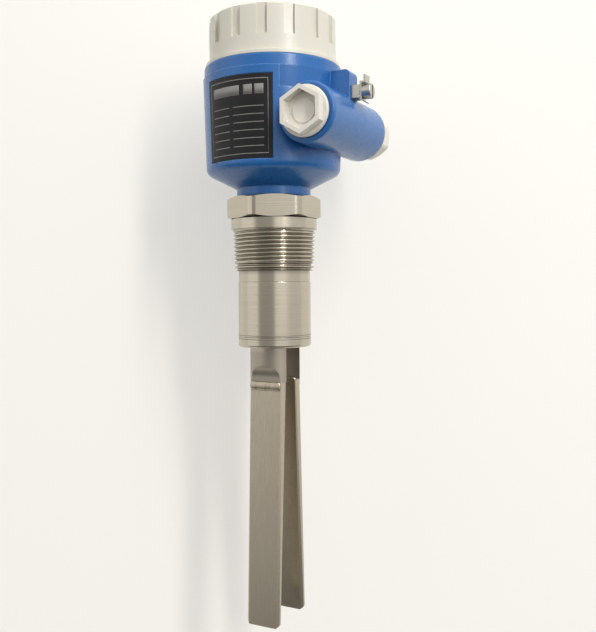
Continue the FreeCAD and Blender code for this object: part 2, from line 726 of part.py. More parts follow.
def round_tip_corner(body, corner):
    """Round one corner of a blade's tip, through the blade's thickness."""
    radius = size["blade_corner"]
    half = size["blade_width"] / 2
    sketch = new_sketch(body, "XZ_Plane")
    edge = corner * half.number
    inside = corner * (half.number - radius.number)
    tip = blade_tip_height.number
    centre = Vector(inside, tip + radius.number, 0)
    circle = Part.Circle(centre, Vector(0, 0, 1), radius.number)
    first_angle, last_angle = (-math.pi / 2, 0) if corner > 0 else (math.pi, 3 * math.pi / 2)
    sketch.addGeometry(Part.LineSegment(Vector(inside, tip, 0), Vector(edge, tip, 0)))
    sketch.addGeometry(Part.LineSegment(Vector(edge, tip, 0), Vector(edge, tip + radius.number, 0)))
    arc = sketch.addGeometry(Part.ArcOfCircle(circle, first_angle, last_angle))
    side_end, tip_end = (2, 1) if corner > 0 else (1, 2)
    sketch.addConstraint(Sketcher.Constraint("Coincident", 0, 2, 1, 1))
    sketch.addConstraint(Sketcher.Constraint("Coincident", 1, 2, arc, side_end))
    sketch.addConstraint(Sketcher.Constraint("Coincident", 0, 1, arc, tip_end))
    pin_point(sketch, 0, 1, corner * (half - radius), blade_tip_height)
    pin_point(sketch, 0, 2, corner * half, blade_tip_height)
    pin_point(sketch, 1, 2, corner * half, blade_tip_height + radius)
    index = sketch.addConstraint(Sketcher.Constraint("Radius", arc, radius.number))
    sketch.setExpression(f"Constraints[{index}]", radius.text)
    before = body.Shape.Volume
    pocket = body.newObject("PartDesign::Pocket", body.Label + "_corner")
    pocket.Profile = sketch
    pocket.SideType = "Symmetric"
    bind(pocket, "Length", 4 * (size["stub_flat"] + size["blade_spread"]))
    doc.recompute()
    if body.Shape.Volume >= before:
        raise RuntimeError(f"the corner of {body.Label} cuts nothing")


def add_bead(body, side):
    """The weld bead: a bar that bulges on the outer face, across the blade's root."""
    outer = size["stub_flat"] + size["bead_proud"]
    middle = size["stub_flat"] - size["blade_root"] / 2
    foot = stub_foot - size["bead_height"]
    slope = size["bead_height"] / 4
    sketch = new_sketch(body, "YZ_Plane")
    draw_outline(sketch, [
        (side * middle, stub_foot),
        (side * size["stub_flat"], stub_foot),
        (side * outer, stub_foot - slope),
        (side * outer, foot + slope),
        (side * size["stub_flat"], foot),
        (side * middle, foot),
    ])
    pad = body.newObject("PartDesign::Pad", body.Label + "_bead")
    pad.Profile = sketch
    pad.SideType = "Symmetric"
    bind(pad, "Length", size["blade_width"] - 2 * size["root_bevel"])
    doc.recompute()


# Piezo drive in the neck tube: a cup on the diaphragm's rim, a stud at its centre and the stack between them

def make_drive():
    diaphragm_top = fork_face + size["diaphragm_thickness"]
    cup = size["drive_cup_dia"] / 2
    wall = size["drive_cup_wall"]
    cup_top = diaphragm_top + size["drive_cup_height"]
    stud = size["drive_stud_dia"] / 2
    hole = stud + size["drive_room"]
    keep(turned("drive_cup", [
        (hole, cup_top - wall),
        (cup - wall, cup_top - wall),
        (cup - wall, diaphragm_top),
        (cup, diaphragm_top),
        (cup, cup_top),
        (hole, cup_top),
    ]))
    level = cup_top
    sheet_radius = size["contact_dia"] / 2
    insulators = [ring("insulator_foot", hole, sheet_radius, level, size["insulator_thickness"])]
    level = level + size["insulator_thickness"]
    rings = []
    contacts = []
    count = int(size["piezo_count"].number)
    for index in range(count):
        rings.append(ring(f"piezo_{index + 1}", hole, size["piezo_dia"] / 2, level, size["piezo_thickness"]))
        level = level + size["piezo_thickness"]
        if index < count - 1:
            contacts.append(ring(f"contact_{index + 1}", hole, sheet_radius, level, size["contact_sheet"]))
            level = level + size["contact_sheet"]
    insulators.append(ring("insulator_top", hole, sheet_radius, level, size["insulator_thickness"]))
    level = level + size["insulator_thickness"]
    keep(group("piezo_rings", rings))
    keep(group("contact_sheets", contacts))
    keep(group("insulator_rings", insulators))
    nut_height = size["drive_nut_height"]
    keep(hexagon_bar("drive_nut", size["drive_nut_flats"], level, nut_height, hole))
    stud_top = level + nut_height + stud
    keep(disc("drive_stud", stud, diaphragm_top, stud_top - diaphragm_top))
    return stud_top


def make_lead(stud_top):
    """The sensor lead on the axis, and the guide in the adapter that holds it."""
    lead = size["lead_dia"] / 2
    foot = stud_top + size["lead_gap"]
    keep(disc("sensor_lead", lead, foot, insert_foot - size["lead_gap"] - foot))
    bore = size["wire_bore_dia"] / 2 - size["guide_fit"]
    hole = lead + size["guide_fit"]
    keep(turned("lead_guide", [
        (hole, tube_top - size["guide_flange"]),
        (size["guide_dia"] / 2, tube_top - size["guide_flange"]),
        (size["guide_dia"] / 2, tube_top),
        (bore, tube_top),
        (bore, tube_top + size["guide_length"]),
        (hole, tube_top + size["guide_length"]),
    ]))


# Head casting: a drafted pot with a tangential cable tunnel, a raised panel and an earth lug

def wall_radius(height):
    """Outside radius of the drafted wall at a height."""
    foot = size["wall_foot_dia"] / 2
    rise = size["rim_height"] - size["wall_foot_height"]
    draft = (size["wall_top_dia"] / 2 - foot) / rise
    return foot + draft * (height - size["wall_foot_height"])


def wall_sector(label, start, end, foot, height, inside, outside):
    """A sector that follows the drafted wall, from inside to outside of its surface."""
    top = foot + height
    sector = turned(label, [
        (wall_radius(foot) - inside, foot),
        (wall_radius(foot) + outside, foot),
        (wall_radius(top) + outside, top),
        (wall_radius(top) - inside, top),
    ], sweep=end - start)
    return place(sector, angle=FRONT_DIRECTION + (start + end) / 2)


def make_housing():
    neck = size["neck_dia"] / 2
    foot_radius = size["wall_foot_dia"] / 2
    rim = size["rim_dia"] / 2
    pot = turned("housing_pot", [
        (0, hex_top),
        (neck, hex_top),
        (neck, hex_top + size["neck_height"]),
        (size["cone_dia"] / 2, hex_top + size["neck_height"] + size["cone_rise"]),
        (foot_radius, size["wall_foot_height"]),
        (size["wall_top_dia"] / 2, size["rim_height"]),
        (rim, size["rim_height"]),
        (rim, rim_top),
        (0, rim_top),
    ])
    rounded(pot, size["wall_foot_round"], circle_at(size["wall_foot_height"], foot_radius))
    rounded(pot, size["rim_round"], circle_at(rim_top, rim))
    half_tunnel = size["tunnel_length"] / 2
    tunnel = disc("housing_tunnel", tunnel_radius, -half_tunnel, size["tunnel_length"])
    for end in (-1, 1):
        rounded(tunnel, size["tunnel_round"], circle_at(end * half_tunnel, tunnel_radius))
    place(tunnel, across=size["tunnel_offset"], up=size["tunnel_height"], **TO_FRONT)
    panel = wall_sector(
        "housing_panel", size["panel_start"], size["panel_end"],
        size["rim_height"] - size["panel_height"], size["panel_height"],
        size["panel_proud"], size["panel_proud"])
    casting = joined("housing_casting", [pot, tunnel, panel, make_lug()])
    hollow = cut("housing_hollow", casting, make_housing_room())
    posts = []
    post_foot = size["floor_height"] - size["cavity_round"]
    for side in (-1, 1):
        label = f"housing_post_{len(posts) + 1}"
        post = disc(label, size["post_dia"] / 2, post_foot, insert_foot - post_foot)
        posts.append(place(post, along=side * post_offset))
    shell = joined("housing_shell", [hollow] + posts)
    holes = []
    hole_radius = size["insert_screw_dia"] / 2 + size["screw_clearance"]
    hole_foot = insert_foot - size["insert_screw_grip"] - size["screw_clearance"]
    for side in (-1, 1):
        label = f"housing_screw_hole_{len(holes) + 1}"
        hole = disc(label, hole_radius, hole_foot, 2 * size["insert_screw_grip"])
        holes.append(place(hole, along=side * post_offset))
    keep(cut("housing", shell, joined("housing_screw_holes", holes)))


def make_lug():
    """The earth lug, rounded over its upper outer edge."""
    reach = lug_reach
    lug = padded("housing_lug", "XZ_Plane", [
        (size["tunnel_offset"] - size["lug_width"], size["lug_top"] - size["lug_drop"]),
        (reach, size["lug_top"] - size["lug_drop"]),
        (reach, size["lug_top"]),
        (size["tunnel_offset"] - size["lug_width"], size["lug_top"]),
    ], size["lug_width"])

    def upper_outer_edge(edge):
        centre = edge.CenterOfMass
        at_reach = abs(centre.x - reach.number) < SAME_PLACE
        return at_reach and abs(centre.z - size["lug_top"].number) < SAME_PLACE

    rounded(lug, size["lug_round"], upper_outer_edge)
    return lug


def make_housing_room():
    """All that is hollow in the head: cavity, mouth, seal groove, stem bore, tunnel, recess and lug hole."""
    bore = size["stem_dia"] / 2 + size["stem_clearance"]
    mouth = size["mouth_dia"] / 2
    groove = size["seal_section"] + 2 * size["seal_room"]
    cavity = size["cavity_dia"] / 2
    above = rim_top + size["rim_thickness"]
    room = turned("room_cavity", [
        (0, hex_top - size["hex_bevel"]),
        (bore, hex_top - size["hex_bevel"]),
        (bore, size["floor_height"]),
        (cavity, size["floor_height"]),
        (cavity, rim_top - size["mouth_depth"]),
        (mouth, rim_top - size["mouth_depth"]),
        (mouth, rim_top - groove),
        (mouth + groove, rim_top - groove),
        (mouth + groove, above),
        (0, above),
    ])
    rounded(room, size["cavity_round"], circle_at(size["floor_height"], cavity))
    entry = size["entry_thread_dia"] / 2
    core = size["tunnel_core_dia"] / 2
    half = size["tunnel_length"] / 2
    tunnel = turned("room_tunnel", [
        (0, -half - entry),
        (entry, -half - entry),
        (entry, -half + size["entry_depth"]),
        (core, -half + size["entry_depth"]),
        (core, half - size["entry_depth"]),
        (entry, half - size["entry_depth"]),
        (entry, half + entry),
        (0, half + entry),
    ])
    place(tunnel, across=size["tunnel_offset"], up=size["tunnel_height"], **TO_FRONT)
    turn_margin = size["plate_margin"] / size["wall_foot_dia"] * 2 * HALF_TURN / math.pi
    recess = wall_sector(
        "room_recess", size["plate_start"] - turn_margin, size["plate_end"] + turn_margin,
        size["plate_foot"] - size["plate_margin"], size["plate_height"] + 2 * size["plate_margin"],
        size["plate_thickness"], size["lug_width"])
    stack = size["earth_block_depth"] + size["earth_clip_sheet"] + size["earth_washer_sheet"]
    hole_depth = size["earth_screw_length"] - stack + size["screw_clearance"]
    lug_hole = disc("room_lug_hole", size["earth_screw_dia"] / 2 + size["screw_clearance"],
                    -hole_depth, 2 * hole_depth)
    place(lug_hole, across=lug_reach, up=earth_height, **TO_SIDE)
    return joined("housing_room", [room, tunnel, recess, lug_hole])


def make_nameplate():
    keep(wall_sector(
        "nameplate", size["plate_start"], size["plate_end"],
        size["plate_foot"], size["plate_height"],
        size["plate_thickness"], 0))


# Screw cover with finger flutes, and its seal

def make_cover():
    outer = size["cover_dia"] / 2
    bead = size["cover_bead_dia"] / 2
    skirt = size["mouth_dia"] / 2 - size["thread_clearance"]
    inner = outer - size["cover_wall"]
    skirt_inner = skirt - size["skirt_wall"]
    roof_foot = cover_top - size["cover_roof"]
    bead_top = cover_foot + size["cover_bead_height"]
    body = turned("cover", [
        (skirt_inner, rim_top - size["skirt_depth"]),
        (skirt, rim_top - size["skirt_depth"]),
        (skirt, cover_foot),
        (bead, cover_foot),
        (bead, bead_top - size["cover_bead_height"] / 3),
        (outer, bead_top),
        (outer, cover_top - size["cover_bevel"]),
        (outer - size["cover_bevel"], cover_top),
        (0, cover_top),
        (0, roof_foot),
        (inner, roof_foot),
        (inner, bead_top),
        (skirt_inner, bead_top),
    ])
    half = size["flute_width"] / 2
    floor = outer - size["flute_depth"]
    sketch = new_sketch(body, "XY_Plane")
    draw_outline(sketch, [(floor, -half), (2 * outer, -half), (2 * outer, half), (floor, half)])
    bind(sketch, "AttachmentOffset.Base.z", cover_top - size["flute_length"])
    before = body.Shape.Volume
    pocket = body.newObject("PartDesign::Pocket", "cover_flute")
    pocket.Profile = sketch
    pocket.Reversed = True
    bind(pocket, "Length", 2 * size["flute_length"])
    doc.recompute()
    repeated_round(body, pocket, size["flute_count"])
    if body.Shape.Volume >= before:
        raise RuntimeError("the cover's flutes cut nothing")
    keep(place(body, angle=FRONT_DIRECTION + size["flute_angle"]))
    seal = doc.addObject("Part::Torus", "cover_seal")
    section = size["seal_section"] / 2
    bind(seal, "Radius1", size["mouth_dia"] / 2 + size["seal_room"] + section)
    bind(seal, "Radius2", section)
    keep(place(seal, up=rim_top - size["seal_room"] - section))


# Front entry: screwed plug with a hollow hexagon

def make_front_plug():
    shank = size["entry_thread_dia"] / 2 - size["thread_clearance"]
    collar = size["plug_collar_dia"] / 2
    collar_foot = size["gasket_thickness"]
    collar_top = collar_foot + size["plug_collar_height"]
    body = turned("front_plug", [
        (0, -size["plug_shank"]),
        (shank, -size["plug_shank"]),
        (shank, collar_foot),
        (collar, collar_foot),
        (collar, collar_top),
        (0, collar_top),
    ])
    rounded(body, size["plug_collar_height"] / 3, circle_at(collar_top, collar))
    sketch = new_sketch(body, "XY_Plane")
    draw_outline(sketch, hexagon(size["plug_hex_flats"]))
    bind(sketch, "AttachmentOffset.Base.z", collar_top)
    pad = body.newObject("PartDesign::Pad", "front_plug_hexagon")
    pad.Profile = sketch
    bind(pad, "Length", size["plug_hex_height"])
    doc.recompute()
    hollow_sketch = new_sketch(body, "XY_Plane")
    draw_outline(hollow_sketch, hexagon(size["plug_hex_flats"] - 2 * size["plug_hex_wall"]))
    bind(hollow_sketch, "AttachmentOffset.Base.z", collar_top + size["plug_hex_height"])
    before = body.Shape.Volume
    hollow = body.newObject("PartDesign::Pocket", "front_plug_hollow")
    hollow.Profile = hollow_sketch
    bind(hollow, "Length", size["plug_hollow_depth"])
    doc.recompute()
    if body.Shape.Volume >= before:
        raise RuntimeError("the plug's hollow cuts nothing")
    hollow_floor = collar_top + size["plug_hex_height"] - size["plug_hollow_depth"]
    floor_pad_sketch = new_sketch(body, "XY_Plane")
    draw_circle(floor_pad_sketch, 0, 0, size["plug_pad_dia"] / 2)
    bind(floor_pad_sketch, "AttachmentOffset.Base.z", hollow_floor)
    floor_pad = body.newObject("PartDesign::Pad", "front_plug_pad")
    floor_pad.Profile = floor_pad_sketch
    bind(floor_pad, "Length", size["plug_pad_height"])
    doc.recompute()
    front = -size["tunnel_length"] / 2
    keep(place(body, across=size["tunnel_offset"], along=front, up=size["tunnel_height"], **TO_FRONT))
    keep(make_gasket("front_gasket", front, TO_FRONT))


def make_gasket(label, along, direction):
    """A flat sealing ring on one of the tunnel's end faces."""
    gasket = ring(label, size["entry_thread_dia"] / 2, size["gasket_dia"] / 2, 0, size["gasket_thickness"])
    return place(gasket, across=size["tunnel_offset"], along=along, up=size["tunnel_height"], **direction)


# Rear entry: cable gland with its gasket, rubber bush and cap nut

def make_gland():
    rear = size["tunnel_length"] / 2
    shank = size["entry_thread_dia"] / 2 - size["thread_clearance"]
    hex_foot = size["gasket_thickness"]
    collar_foot = hex_foot + size["gland_hex_height"]
    collar_top = collar_foot + size["gland_collar_height"]
    collar = size["gland_collar_dia"] / 2
    bush = size["bush_dia"] / 2
    bush_hole = size["cable_dia"] / 2
    fit = size["guide_fit"]
    bush_foot = collar_top - size["bush_length"] + size["gland_nut_gap"]
    wide_hole = bush_hole + size["cable_room"]
    core = turned("gland_core", [
        (wide_hole, -size["plug_shank"]),
        (shank, -size["plug_shank"]),
        (shank, collar_foot),
        (collar, collar_foot),
        (collar, collar_top),
        (bush + fit, collar_top),
        (bush + fit, bush_foot),
        (wide_hole, bush_foot),
    ])
    flats = size["gland_hex_flats"]
    flange = hexagon_bar("gland_flange", flats, hex_foot, size["gland_hex_height"], bush + fit)
    body = joined("gland_body", [core, flange])
    spot = {"across": size["tunnel_offset"], "along": rear, "up": size["tunnel_height"]}
    keep(place(body, **spot, **TO_REAR))
    keep(make_gasket("gland_gasket", rear, TO_REAR))
    keep(place(ring("gland_bush", bush_hole, bush, bush_foot + fit, size["bush_length"]), **spot, **TO_REAR))
    nut_foot_here = collar_foot + size["gland_nut_gap"]
    nut_top_here = nut_foot_here + size["gland_nut_height"]
    nut = size["gland_nut_dia"] / 2
    roof = bush_foot + fit + size["bush_length"] + size["thread_clearance"]
    dome = size["gland_nut_height"] / 3
    cap = turned("gland_cap", [
        (collar + size["thread_clearance"], nut_foot_here),
        (nut, nut_foot_here),
        (nut, nut_top_here - dome),
        (nut - dome / 2, nut_top_here - dome / 3),
        (nut - dome, nut_top_here),
        (wide_hole, nut_top_here),
        (wide_hole, roof),
        (collar + size["thread_clearance"], roof),
    ])
    prism = hexagon_bar("gland_nut_prism", flats, nut_foot_here, size["gland_nut_height"], wide_hole)
    keep(place(shared("gland_nut", cap, prism), **spot, **TO_REAR))


# Earth terminal on the lug: square block, bent clip, spring washer and slotted screw

def make_earth_terminal():
    spot = {"across": lug_reach, "up": earth_height}
    half = size["earth_block"] / 2
    hole = size["earth_screw_dia"] / 2 + size["screw_clearance"]
    block = new_body("earth_block")
    sketch = new_sketch(block, "XY_Plane")
    draw_outline(sketch, [(-half, -half), (half, -half), (half, half), (-half, half)])
    draw_circle(sketch, 0, 0, hole)
    pad = block.newObject("PartDesign::Pad", "earth_block_pad")
    pad.Profile = sketch
    bind(pad, "Length", size["earth_block_depth"])
    doc.recompute()
    keep(place(block, **spot, **TO_SIDE))
    sheet_foot = size["earth_block_depth"]
    sheet_top = sheet_foot + size["earth_clip_sheet"]
    step = size["earth_clip_step"]
    tab = size["earth_clip_tab"]
    gauge = size["earth_clip_sheet"]
    flare = tab / 3
    reach = size["earth_head_dia"] / 2 + size["earth_clip_room"]
    clip = padded("earth_clip", "XZ_Plane", [
        (-reach - gauge, sheet_foot),
        (reach, sheet_foot),
        (reach + flare, sheet_foot + step),
        (reach + flare, sheet_top + step),
        (reach, sheet_top),
        (-reach, sheet_top),
        (-reach, sheet_top + step),
        (-reach - tab, sheet_top + step),
        (-reach - tab, sheet_foot + step),
        (-reach - gauge, sheet_foot + step),
    ], size["earth_clip_width"])
    clip_hole_sketch = new_sketch(clip, "XY_Plane")
    draw_circle(clip_hole_sketch, 0, 0, hole)
    before = clip.Shape.Volume
    clip_hole = clip.newObject("PartDesign::Pocket", "earth_clip_hole")
    clip_hole.Profile = clip_hole_sketch
    clip_hole.SideType = "Symmetric"
    bind(clip_hole, "Length", 4 * sheet_top)
    doc.recompute()
    if clip.Shape.Volume >= before:
        raise RuntimeError("the clip's hole cuts nothing")
    keep(place(clip, **spot, **TO_SIDE))
    washer = ring("earth_washer", hole, size["earth_washer_dia"] / 2, sheet_top, size["earth_washer_sheet"])
    split = size["earth_washer_sheet"] / 2
    washer_top = sheet_top + size["earth_washer_sheet"]
    pocketed(washer, "XZ_Plane", [
        (0, sheet_foot),
        (size["earth_washer_dia"], sheet_foot),
        (size["earth_washer_dia"], washer_top + gauge),
        (0, washer_top + gauge),
    ], split)
    keep(place(washer, **spot, **TO_SIDE))
    head_top = washer_top + size["earth_head_height"]
    head = size["earth_head_dia"] / 2
    shank = size["earth_screw_dia"] / 2
    screw = turned("earth_screw", [
        (0, washer_top - size["earth_screw_length"]),
        (shank, washer_top - size["earth_screw_length"]),
        (shank, washer_top),
        (head, washer_top),
        (head, head_top),
        (0, head_top),
    ])
    rounded(screw, size["earth_slot"] / 2, circle_at(head_top, head))
    pocketed(screw, "YZ_Plane", [
        (-size["earth_slot"] / 2, head_top - size["earth_head_height"] / 2),
        (size["earth_slot"] / 2, head_top - size["earth_head_height"] / 2),
        (size["earth_slot"] / 2, head_top + size["earth_head_height"]),
        (-size["earth_slot"] / 2, head_top + size["earth_head_height"]),
    ], 2 * size["earth_head_dia"])
    keep(place(screw, **spot, **TO_SIDE))


# Electronic insert: cup, circuit board, lid, terminals, switches, lamps and its two long screws

def cut_side_flat(body, distance, foot, top):
    """Take the side off a round piece, so that wires can pass beside it."""
    reach = size["insert_dia"]
    corners = [(distance, foot), (reach, foot), (reach, top), (distance, top)]
    return pocketed(body, "XZ_Plane", corners, 2 * reach)


def screw_holes(label, body, foot, height):
    """Cut the two holes for the insert's screws."""
    radius = size["insert_screw_dia"] / 2 + size["screw_clearance"]
    holes = []
    for side in (-1, 1):
        hole = disc(f"{label}_hole_{len(holes) + 1}", radius, foot - height, 3 * height)
        holes.append(place(hole, along=side * post_offset))
    return cut(label, body, joined(label + "_holes", holes))


def make_insert():
    outer = size["insert_dia"] / 2
    wall = size["insert_wall"]
    board_foot = insert_foot + size["board_height"]
    ledge = outer - wall - size["board_ledge"]
    inner = outer - wall
    flat = size["insert_flat"]
    shell = disc("insert_shell", outer, insert_foot, size["insert_height"])
    cut_side_flat(shell, flat, insert_foot - wall, lid_foot + wall)
    lower = disc("insert_lower_room", ledge, insert_foot + wall, size["insert_height"])
    cut_side_flat(lower, flat - wall - size["board_ledge"], insert_foot, lid_foot + size["insert_height"])
    upper = disc("insert_upper_room", inner, board_foot, size["insert_height"])
    cut_side_flat(upper, flat - wall, insert_foot, lid_foot + size["insert_height"])
    hollow = cut("insert_hollow", shell, joined("insert_room", [lower, upper]))
    keep(screw_holes("insert_cup", hollow, insert_foot, wall))
    fit = size["screw_clearance"]
    board = disc("board_blank", inner - fit, board_foot, size["board_thickness"])
    cut_side_flat(board, flat - wall - fit, insert_foot, lid_foot)
    keep(screw_holes("circuit_board", board, board_foot, size["board_thickness"]))
    lid = disc("lid_blank", outer, lid_foot, size["lid_thickness"])
    cut_side_flat(lid, flat, insert_foot, lid_top + wall)
    keep(screw_holes("insert_lid", lid, lid_foot, size["lid_thickness"]))
    screws = []
    for side in (-1, 1):
        shank = size["insert_screw_dia"] / 2
        foot = insert_foot - size["insert_screw_grip"]
        head_top = lid_top + size["insert_head_height"]
        screw = turned(f"insert_screw_{len(screws) + 1}", [
            (0, foot),
            (shank, foot),
            (shank, lid_top),
            (size["insert_screw_head"] / 2, lid_top),
            (size["insert_screw_head"] / 2, head_top),
            (0, head_top),
        ])
        screws.append(place(screw, along=side * post_offset))
    keep(group("insert_screws", screws))


def make_terminals():
    """Terminal block on the lid: screw wells from above and wire holes from the front."""
    place_y = size["terminal_place"]
    half_width = size["terminal_width"] / 2
    top = lid_top + size["terminal_height"]
    block = padded("terminal_blank", "YZ_Plane", [
        (place_y - half_width, lid_top),
        (place_y + half_width, lid_top),
        (place_y + half_width, top),
        (place_y - half_width, top - size["terminal_height"] / 4),
    ], size["terminal_length"])
    count = int(size["terminal_count"].number)
    well_foot = top - size["terminal_height"] / 2
    rooms = []
    heads = []
    for index in range(count):
        offset = (index - (count - 1) / 2) * size["terminal_pitch"]
        head = size["terminal_screw_dia"] / 2
        well_radius = head + size["screw_clearance"]
        well = disc(f"terminal_well_{index + 1}", well_radius, well_foot, size["terminal_height"])
        rooms.append(place(well, across=offset, along=place_y + half_width / 3))
        wire = disc(f"terminal_wire_hole_{index + 1}", size["terminal_hole"] / 2, 0, half_width)
        wire_height = lid_top + size["terminal_hole"] * 0.6
        rooms.append(place(wire, across=offset, along=place_y - half_width / 2, up=wire_height, **TO_FRONT))
        screw = disc(f"terminal_screw_{index + 1}", head, well_foot, size["terminal_screw_height"])
        heads.append(place(screw, across=offset, along=place_y + half_width / 3))
    keep(cut("terminal_block", block, joined("terminal_rooms", rooms)))
    keep(group("terminal_screws", heads))


def make_switches():
    """Switch frame with one slot for each slider, and the two signal lamps."""
    half_width = size["switch_width"] / 2
    place_y = size["switch_place"]
    top = lid_top + size["switch_height"]
    frame = padded("switch_blank", "YZ_Plane", [
        (place_y - half_width, lid_top),
        (place_y + half_width, lid_top),
        (place_y + half_width, top),
        (place_y - half_width, top),
    ], size["switch_length"])
    labels = ("fail_safe_slider", "sensitivity_slider")
    room = size["slider_room"]
    slot_foot = top - size["slot_depth"]
    slot_half = (size["slider_length"] + size["slider_travel"]) / 2 + room
    slots = []
    sliders = []
    for index, label in enumerate(labels):
        offset = (index - (len(labels) - 1) / 2) * size["slider_pitch"]
        slot = padded(f"switch_slot_{index + 1}", "YZ_Plane", [
            (place_y - slot_half, slot_foot),
            (place_y + slot_half, slot_foot),
            (place_y + slot_half, top + size["slot_depth"]),
            (place_y - slot_half, top + size["slot_depth"]),
        ], size["slider_width"] + 2 * room)
        slots.append(place(slot, across=offset))
        back = place_y - slot_half + room
        slider = padded(label, "YZ_Plane", [
            (back, slot_foot + room),
            (back + size["slider_length"], slot_foot + room),
            (back + size["slider_length"], top + size["slider_rise"]),
            (back, top + size["slider_rise"]),
        ], size["slider_width"])
        sliders.append(place(slider, across=offset))
    keep(cut("switch_frame", frame, joined("switch_slots", slots)))
    for slider in sliders:
        keep(slider)
    lamp_place = size["switch_length"] / 2 + size["lamp_dia"]
    for label, side in (("green_lamp", -1), ("yellow_lamp", 1)):
        lamp = disc(label, size["lamp_dia"] / 2, lid_top, size["lamp_height"])
        rounded(lamp, size["lamp_dia"] / 4, circle_at(lid_top + size["lamp_height"], size["lamp_dia"] / 2))
        keep(place(lamp, across=-lamp_place, along=place_y + side * size["lamp_spacing"] / 2))


make_adapter()
make_stem_pieces()
make_neck_tube()
make_fork_head()
make_blade("front_blade", -1)
make_blade("rear_blade", 1)
make_lead(make_drive())
make_housing()
make_nameplate()
make_cover()
make_front_plug()
make_gland()
make_earth_terminal()
make_insert()
make_terminals()
make_switches()


# Check every object, then write one file for each node

doc.recompute()
for thing in doc.Objects:
    if "Invalid" in thing.State or "Error" in thing.State:
        raise RuntimeError(f"{thing.Label} failed: {thing.State}")
for piece in made:
    if piece.Shape.isNull() or not piece.Shape.isValid() or not piece.Shape.Solids:
        raise RuntimeError(f"{piece.Label} has no valid solid")
for piece in made:
    piece.Shape.exportStep(f"parts/{piece.Label}.step")
    print(f"{piece.Label}: {len(piece.Shape.Solids)} solid(s), {piece.Shape.Volume / 1000:.3f} cm3")
print(f"{len(made)} nodes")
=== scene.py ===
# %% [markdown]
# # A vibrating fork level switch
# This lesson dresses the solid model of a level switch: a blue cast wiring head with a pale screw cover, a
# steel hexagon with a taper pipe thread, a short neck tube and a fork of two welded blades. The solids come
# in as a fixed frame, in metres, and everything that follows is placed by that frame.

# %% Load the frame
import math

import bmesh
import bpy
from mathutils import Matrix, Vector


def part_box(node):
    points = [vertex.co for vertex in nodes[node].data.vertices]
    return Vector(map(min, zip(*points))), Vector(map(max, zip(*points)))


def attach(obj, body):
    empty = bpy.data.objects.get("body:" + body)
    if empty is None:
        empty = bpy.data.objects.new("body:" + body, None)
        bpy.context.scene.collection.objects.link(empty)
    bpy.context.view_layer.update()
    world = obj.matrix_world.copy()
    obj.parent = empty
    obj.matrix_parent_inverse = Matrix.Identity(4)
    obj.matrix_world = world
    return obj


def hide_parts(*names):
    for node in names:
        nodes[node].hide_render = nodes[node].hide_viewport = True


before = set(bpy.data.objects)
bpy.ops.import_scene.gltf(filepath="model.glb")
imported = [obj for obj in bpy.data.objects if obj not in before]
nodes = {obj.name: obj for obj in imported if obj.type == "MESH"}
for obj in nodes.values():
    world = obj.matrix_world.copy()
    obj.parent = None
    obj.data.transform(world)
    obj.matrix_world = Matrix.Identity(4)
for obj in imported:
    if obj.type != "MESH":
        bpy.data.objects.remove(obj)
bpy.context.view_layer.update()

MM = 0.001
scene = bpy.context.scene
scene.view_settings.view_transform = "Standard"

# %% [markdown]
# ## The camera
# The photograph looks level at the switch, turned 27 degrees to the right of its front, from about half a
# metre. Upright lines stay parallel in it, so the lens is shifted and not tilted. The camera also leans by
# less than half a degree, which makes the head stand a little to the left of the blades.

# %% Place the camera
VIEW_TURN = math.radians(27.0)
VIEW_LEAN = math.radians(-0.42)
VIEW_DISTANCE = 478.0 * MM
VIEW_ASIDE = 14.0 * MM
VIEW_HEIGHT = -33.0 * MM
NEAREST_SEEN = 10.0 * MM
SENSOR_WIDTH = 36.0
FOCAL_PIXELS = 800.0
IMAGE_LONG_SIDE = 632.0
HORIZON_ABOVE_MIDDLE = 31.0

to_camera = Vector((math.sin(VIEW_TURN), -math.cos(VIEW_TURN), 0.0))
to_right = Vector((math.cos(VIEW_TURN), math.sin(VIEW_TURN), 0.0))
up = Vector((0.0, 0.0, 1.0))

camera_data = bpy.data.cameras.new("camera")
camera_data.sensor_width = SENSOR_WIDTH
camera_data.lens = SENSOR_WIDTH * FOCAL_PIXELS / IMAGE_LONG_SIDE
camera_data.shift_y = -HORIZON_ABOVE_MIDDLE / IMAGE_LONG_SIDE
camera_data.clip_start = NEAREST_SEEN
camera = bpy.data.objects.new("camera", camera_data)
scene.collection.objects.link(camera)
upright = Matrix.Rotation(VIEW_TURN, 4, "Z") @ Matrix.Rotation(math.pi / 2, 4, "X")
camera.matrix_world = upright @ Matrix.Rotation(VIEW_LEAN, 4, "Z")
camera.location = to_camera * VIEW_DISTANCE + to_right * VIEW_ASIDE + up * VIEW_HEIGHT
scene.camera = camera
print("lens in millimetres:", round(camera_data.lens, 2))

# %% [markdown]
# ## Node helpers
# A procedural finish is a small graph of nodes. A few helpers keep the graphs readable: one adds a node and
# sets or joins its inputs by name, others do sums, blend colours and start a finish or a group. Values that
# are the same all over a surface go straight to the shader's own sockets.

# %% Helpers for nodes and sockets
# A mix node has sockets for every kind of value: these are the places of its two inputs and its result.
MIX_PLACES = {"FLOAT": (2, 3, 0), "RGBA": (6, 7, 2)}


def feed(tree, target, value):
    """Set an input to a plain value, or join it to another node's output."""
    if isinstance(value, bpy.types.NodeSocket):
        tree.links.new(value, target)
    else:
        target.default_value = value


def add_node(tree, kind, settings=None, **inputs):
    """Add a node with its own settings, and feed its inputs by their names with _ for a space."""
    node = tree.nodes.new(kind)
    for name, value in (settings or {}).items():
        setattr(node, name, value)
    for name, value in inputs.items():
        feed(tree, node.inputs[name.replace("_", " ")], value)
    return node


def calculate(tree, operation, first, second, clamp=False):
    """The result of a math node on two numbers, each a socket or a plain value."""
    node = add_node(tree, "ShaderNodeMath", {"operation": operation, "use_clamp": clamp})
    feed(tree, node.inputs[0], first)
    feed(tree, node.inputs[1], second)
    return node.outputs["Value"]


